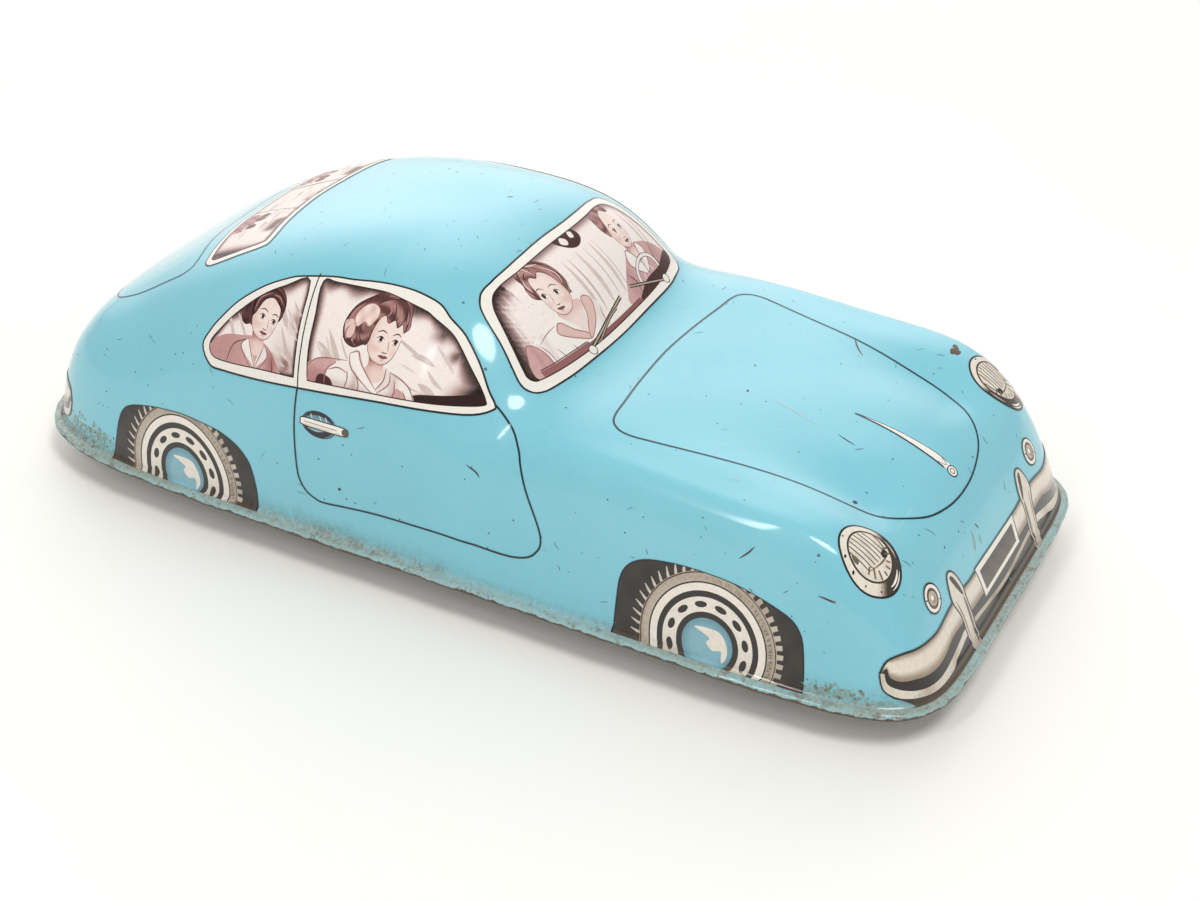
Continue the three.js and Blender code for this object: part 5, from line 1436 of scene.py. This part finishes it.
def headlamp(side, sign):
    """A printed headlamp: a bezel, bright behind and dark in front, round a ribbed lens."""
    art = Print(f"headlamp_{side}", top_chart, 0.7)

    def to(points):
        return [(sign * (LAMP_X - u), LAMP_Y + v) for u, v in points]

    def bezel(x, y):
        u, v = LAMP_X - sign * x, y - LAMP_Y
        return 0.02 + 0.95 * fade(0.55 * u - v, 1.2, 3.4)
    outer = to(ellipse((0, 0), 6.1, 5.95, 48))
    art.fill(outer, "chrome", bezel, smooth=0)
    art.stroke(outer, 0.42, "line", 0.4, smooth=0, closed=True)
    for radius, width in ((5.15, 0.5), (5.6, 0.3)):
        art.stroke(to(arc((0, 0), radius, -104, -62, 7)), width, "cream", 0.1, ends=(0.3, 0.3))
    art.stroke(to(arc((0, 0), BEZEL, -40, -5, 6)), 0.35, "chrome", 0.3, ends=(0.2, 0.2))

    lens = to(ellipse((0.1, 0.1), 4.7, 4.2, 44))
    inner = art.fill(lens, "chrome", lambda x, y: 0.06 + 0.12 * math.sin(1.7 * x) * math.sin(1.3 * y),
                     smooth=0)
    for k in range(7):
        u = -3.1 + 1.0 * k
        reach = math.sqrt(max(0.0, 1 - (u / 4.6) ** 2)) * 4.0
        art.stroke(to([(u, reach), (u + 0.1, 1.0), (u + 0.1, -1.2 - 0.12 * k)]), 0.26, "chrome", 0.92,
                   inner)
    art.stroke(to([(4.4, 1.4), (3.9, -0.6), (2.9, -1.9), (1.4, -2.2), (-1, -1.8), (-3.4, -1.0)]), 0.4,
               "chrome", 0.8, inner, ends=(1, 0.2))
    art.fill(to(ellipse((2.6, -1.75), 0.95, 0.6, 16)), "chrome", 1.0, inner, smooth=0)
    art.fill(to([(-3.9, 1.8), (-3.1, 2.5), (-2.9, 1.2), (-3.8, 0.9)]), "chrome", 0.85, inner)
    for degrees, near, far in ((-20, 3.0, 4.3), (-34, 3.2, 4.2), (-56, 3.1, 3.9), (-74, 3.0, 3.8),
                               (-96, 3.1, 3.8), (-118, 2.6, 3.9), (-140, 2.2, 3.8), (-160, 2.4, 3.6)):
        art.stroke(to([polar(near, degrees), polar(far, degrees, 1.05)]), 0.4, "chrome", 0.85, inner,
                   smooth=0)
    art.stroke(lens, 0.4, "chrome", 0.97, smooth=0, closed=True)
    for degrees in (100, 142, 168, 196, 228):
        size = rng.uniform(0.15, 0.34)
        art.fill(to(ellipse(polar(BEZEL, degrees), size, size * 0.7, 9)), "shadow", 0.9, smooth=0)
    return art.lay()


# ---------------------------------------------------------------- chips and scratches
def blob(centre, size, points=9):
    """A small ragged spot."""
    made = []
    for k in range(points):
        r = size * rng.uniform(0.55, 1.25)
        a = 2 * math.pi * k / points
        made.append((centre[0] + r * math.cos(a), centre[1] + r * math.sin(a)))
    return made


def wear(name, chart, low, high, count, marks):
    """Marks given as (path, width, paint, tone), and scattered small ones."""
    art = Print(name, chart, 3.0, LIFT * 0.6)
    for path, width, paint, tone in marks:
        if len(path) == 1:
            art.fill(blob(path[0], width), paint, tone)
        else:
            art.stroke(path, width, paint, tone, ends=(0.2, 0.2))
    for _ in range(count):
        x, y = rng.uniform(low[0], high[0]), rng.uniform(low[1], high[1])
        kind = rng.random()
        if kind < 0.45:
            art.fill(blob((x, y), rng.uniform(0.1, 0.22), 7), "chip", rng.random())
        else:
            length, turn = rng.uniform(0.6, 2.6), rng.uniform(-1.2, 1.2)
            step = (length * math.cos(turn), length * math.sin(turn))
            bow = rng.uniform(-0.3, 0.3)
            path = [(x, y), (x + step[0] / 2 + bow, y + step[1] / 2), (x + step[0], y + step[1])]
            paint = "scratch" if kind > 0.72 else "chip"
            art.stroke(path, rng.uniform(0.06, 0.14), paint, rng.random(), ends=(0.2, 0.2))
    return art.lay()


def scuff(name, chart, low, high, count):
    """A patch of paint rubbed through in many small overlapping spots, densest in its middle."""
    art = Print(name, chart, 3.0, LIFT * 0.6, foot=PRINT_FOOT)
    for _ in range(count):
        spot = (rng.triangular(low[0], high[0]), rng.triangular(low[1], high[1]))
        art.fill(blob(spot, rng.uniform(0.1, 0.42), 9), "worn", rng.random())
    return art.lay()


# ---------------------------------------------------------------- all the printed sheets
for side, sign in (("right", -1), ("left", 1)):
    side_windows(side, sign)
    door(side, sign)
    printed_wheel(f"printed_front_wheel_{side}", sign, FRONT_ARCH, FRONT_WHEEL_CENTRE)
    printed_wheel(f"printed_rear_wheel_{side}", sign, REAR_ARCH, REAR_WHEEL_CENTRE)
    headlamp(side, sign)
windscreen()
rear_window()
panel_lines()
bumper("front_bumper", -1)
bumper("rear_bumper", 1, 0.95)

TOP_MARKS = [([(-9, -76), (-8.6, -74), (-8, -72)], 0.3, "chip", 0.4),
             ([(-8, -68), (-6.2, -62), (-5, -56)], 0.2, "scratch", 0.1), ([(-23, -82)], 0.5, "chip", 0.9),
             ([(-5, -51)], 0.4, "chip", 0.9), ([(22, -65), (24, -63), (27, -61)], 0.35, "chip", 0.2),
             ([(34.6, -80.6)], 1.3, "chip", 0.5), ([(36.4, -80.2)], 0.9, "chip", 0.2),
             ([(8, 12), (9, 11)], 0.4, "chip", 0.8)]
SIDE_MARKS = [([(-9, 26), (-11, 25), (-12, 24)], 0.35, "chip", 0.6), ([(19.5, 13)], 0.5, "chip", 0.7),
              ([(-68, 24), (-69.6, 25.6), (-70.6, 27)], 0.34, "chip", 0.3),
              ([(-84, 21), (-86, 20.6), (-87.5, 20.2)], 0.38, "chip", 0.4)]
NOSE_MARKS = [
    ([(-7.5, 13.8), (-6.2, 15.4), (-5.8, 17)], 0.75, "worn", 0.2),
    ([(-4.2, 13.6), (-3.6, 15.2)], 0.55, "worn", 0.1),
    ([(-3.4, 17.2), (-2.8, 16.0)], 0.4, "chip", 0.5),
]
wear("chips_top", top_chart, (-34, -88), (34, 48), 110, TOP_MARKS)
wear("chips_right", side_chart(-1), (-95, 6), (95, 30), 90, SIDE_MARKS)
wear("chips_left", side_chart(1), (-95, 6), (95, 30), 50, [])
wear("chips_nose", band_chart(-1), (-46, 13.5), (46, 24), 36, NOSE_MARKS)
scuff("scuff_tail", band_chart(1), (-64, 0.9), (-46, 7.0), 190)
scuff("scuff_nose", band_chart(-1), (-64, 0.9), (-50, 4.2), 120)


# ---------------------------------------------------------------- wheels and tyres
CAD_WHEEL_RADIUS = 13.0
BORE = 1.05  # radius of the wheel's hole
TYRE_STEPS = 144
TREAD_CUT = 0.45  # depth of the cross grooves, one at every third step


def turned(name, profile, centre, outwards, body, steps, shape=None):
    """A closed profile of (radius, distance along the axle) turned about X. shape may move its points."""
    rows = len(profile)
    points = []
    for k in range(steps):
        angle = 2 * math.pi * k / steps
        for radius, along in profile:
            if shape:
                radius, along = shape(k, radius, along)
            points.append((centre[0] + outwards * along, centre[1] + radius * math.cos(angle),
                           centre[2] + radius * math.sin(angle)))
    faces = quads(steps, rows, rows)
    if outwards < 0:
        faces = [face[::-1] for face in faces]
    return new_object(name, points, faces, body)


def rounded(profile, radius, steps=3):
    """Rounds the corners of a closed profile."""
    made = []
    count = len(profile)
    for i, corner in enumerate(profile):
        corner = np.array(corner, float)
        before = np.array(profile[i - 1], float) - corner
        after = np.array(profile[(i + 1) % count], float) - corner
        first = corner + before * min(0.45, radius / np.linalg.norm(before))
        last = corner + after * min(0.45, radius / np.linalg.norm(after))
        for k in range(steps + 1):
            t = k / steps
            made.append(tuple((1 - t) ** 2 * first + 2 * t * (1 - t) * corner + t * t * last))
    return made


def wheels():
    for axle in ("front", "rear"):
        for side, outwards in (("left", 1), ("right", -1)):
            low, high = cad_mm(f"{axle}_tyre_{side}")
            centre = (low + high) / 2
            body = f"{axle}_axle_set"
            disc = [(BORE, -1.5), (3, -1.5), (3.4, 0), (8, -0.4), (8.4, -2.2), (9.4, -2.2), (9.4, 2.2),
                    (8.2, 0.8), (3.8, 1.4), (2.8, 2.6), (BORE, 2.6)]
            wheel = turned(f"{axle}_{side}_wheel", rounded(disc, 0.25), centre, outwards, body,
                           96)
            wheel.data.materials.append(WHEEL_TIN)
            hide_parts(f"{axle}_wheel_{side}")

            def grooved(k, radius, along):
                cut = TREAD_CUT if k % 3 == 0 and radius > 12.6 and abs(along) > 0.9 else 0
                return (radius - cut) * centre[2] / CAD_WHEEL_RADIUS, along

            section = [(9.5, -2.7), (10.6, -3.0), (11.9, -3.0), (12.9, -2.0), (13, -1.0), (13, -0.35),
                       (12.6, -0.25), (12.6, 0.25), (13, 0.35), (13, 1.0), (12.9, 2.0), (11.9, 3.0),
                       (10.6, 3.0), (9.5, 2.7)]
            tyre = turned(f"{axle}_{side}_tyre", rounded(section, 0.15, 2), centre, outwards, body,
                          TYRE_STEPS, grooved)
            tyre.data.materials.append(RUBBER)
            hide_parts(f"{axle}_tyre_{side}")


wheels()

METALS = {
    "base_plate": BARE_TIN, "motor_frame": BARE_TIN, "front_bracket": BARE_TIN, "bracket_rivet": STEEL,
    "frame_pillar": STEEL, "axle": STEEL, "spacer": STEEL, "arbor": STEEL, "drive_gear": BRASS,
    "pinion": BRASS, "intermediate_gear": BRASS, "flywheel": IRON,
}
for name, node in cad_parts.items():
    if not node.hide_render:
        word = next(w for w in METALS if w in name)
        node.data.materials.clear()
        node.data.materials.append(METALS[word])


# ---------------------------------------------------------------- floor and lights, in metres
FLOOR_SIZE = 6
LIGHT_TARGET = (0, -0.02, 0.03)
WORLD_LIGHT = 0.47


def stand(name, data, place=(0, 0, 0), target=None):
    """Adds something that isn't part of the car, turned towards the target if there is one."""
    thing = bpy.data.objects.new(name, data)
    thing.location = place
    if target:
        thing.rotation_euler = (Vector(target) - Vector(place)).to_track_quat("-Z", "Y").to_euler()
    bpy.context.scene.collection.objects.link(thing)


def rectangle(name, width, length, material):
    mesh = bpy.data.meshes.new(name)
    x, y = width / 2, length / 2
    mesh.from_pydata([(-x, -y, 0), (x, -y, 0), (x, y, 0), (-x, y, 0)], [], [(0, 1, 2, 3)])
    mesh.materials.append(material)
    return mesh


def floor():
    m = Nodes("pale_floor")
    cloud = m.noise(0.004, 3, 0.5)
    speck = m.noise(0.08, 4, 0.6)
    base = m.mix(m.steps(cloud, (0.35, 0.0), (0.65, 1.0)), linear(246, 245, 240), linear(250, 248, 243))
    base = m.mix(m.steps(speck, (0.6, 0.0), (0.75, 0.12)), base, linear(232, 230, 224))
    m.finish(base, 0.6)
    m.glow((1, 1, 0.98, 1), 0.05)
    stand("floor", rectangle("floor", FLOOR_SIZE, FLOOR_SIZE, m.material))


def softbox(name, place, size, watts):
    lamp = bpy.data.lights.new(name, "AREA")
    lamp.shape = "ELLIPSE"
    lamp.size, lamp.size_y = size
    lamp.energy = watts
    stand(name, lamp, place, LIGHT_TARGET)


def glowing_card(place, size, radiance):
    """A large white card, brightest in its middle, that the far parts of the lacquer mirror."""
    m = Nodes("glowing_card")
    glow = m.add("ShaderNodeTexGradient", gradient_type="SPHERICAL")
    mapping = m.add("ShaderNodeMapping")
    mapping.inputs["Scale"].default_value = (2 / size[0], 2 / size[1], 1)
    m.link(m.add("ShaderNodeTexCoord").outputs["Object"], mapping.inputs["Vector"])
    m.link(mapping.outputs["Vector"], glow.inputs["Vector"])
    m.finish((0.0, 0.0, 0.0, 1), 1.0, specular=0.0)
    bright = m.times(m.steps(glow.outputs["Fac"], (0.0, 0.0), (1.0, 1.0)), radiance)
    m.glow((1, 1, 1, 1), m.maths("ADD", bright, WORLD_LIGHT))
    stand("glowing_card", rectangle("glowing_card", *size, m.material), place, LIGHT_TARGET)


def lights():
    softbox("ceiling_lamp_side", (-1.0, 0.24, 1.1), (0.1, 0.88), 3.2)
    softbox("ceiling_lamp_front", (-0.25, -0.44, 1.1), (0.36, 0.46), 5.2)
    glowing_card((1.3, 0.95, 0.85), (3.8, 2.8), 2.2)
    world = bpy.data.worlds.new("studio")
    world.use_nodes = True
    background = world.node_tree.nodes["Background"]
    background.inputs["Color"].default_value = (1.0, 0.995, 0.98, 1)
    background.inputs["Strength"].default_value = WORLD_LIGHT
    bpy.context.scene.world = world
    bpy.context.scene.view_settings.view_transform = "Standard"


# ---------------------------------------------------------------- camera, in millimetres and degrees
CAMERA_AZIMUTH, CAMERA_ELEVATION, CAMERA_ROLL = (math.radians(a) for a in (-61.925, 33.265, 0.359))
CAMERA_DISTANCE, CAMERA_TARGET = 448.63, Vector((8.37, -10.44, 7.435))
LENS, SENSOR = 60.49, 36.0
CLIP = (0.01, 20)  # metres


def camera():
    a, e, roll = CAMERA_AZIMUTH, CAMERA_ELEVATION, CAMERA_ROLL
    back = Vector((math.sin(a) * math.cos(e), -math.cos(a) * math.cos(e), math.sin(e)))
    right = Vector((math.cos(a), math.sin(a), 0))
    up = back.cross(right)
    turned_right = right * math.cos(roll) + up * math.sin(roll)
    turned_up = up * math.cos(roll) - right * math.sin(roll)
    data = bpy.data.cameras.new("camera")
    data.lens, data.sensor_width = LENS, SENSOR
    data.clip_start, data.clip_end = CLIP
    thing = bpy.data.objects.new("camera", data)
    place = (CAMERA_TARGET + back * CAMERA_DISTANCE) * MM
    turn = Matrix((turned_right, turned_up, back)).transposed().to_4x4()
    thing.matrix_world = Matrix.Translation(place) @ turn
    bpy.context.scene.collection.objects.link(thing)
    bpy.context.scene.camera = thing


floor()
lights()
camera()
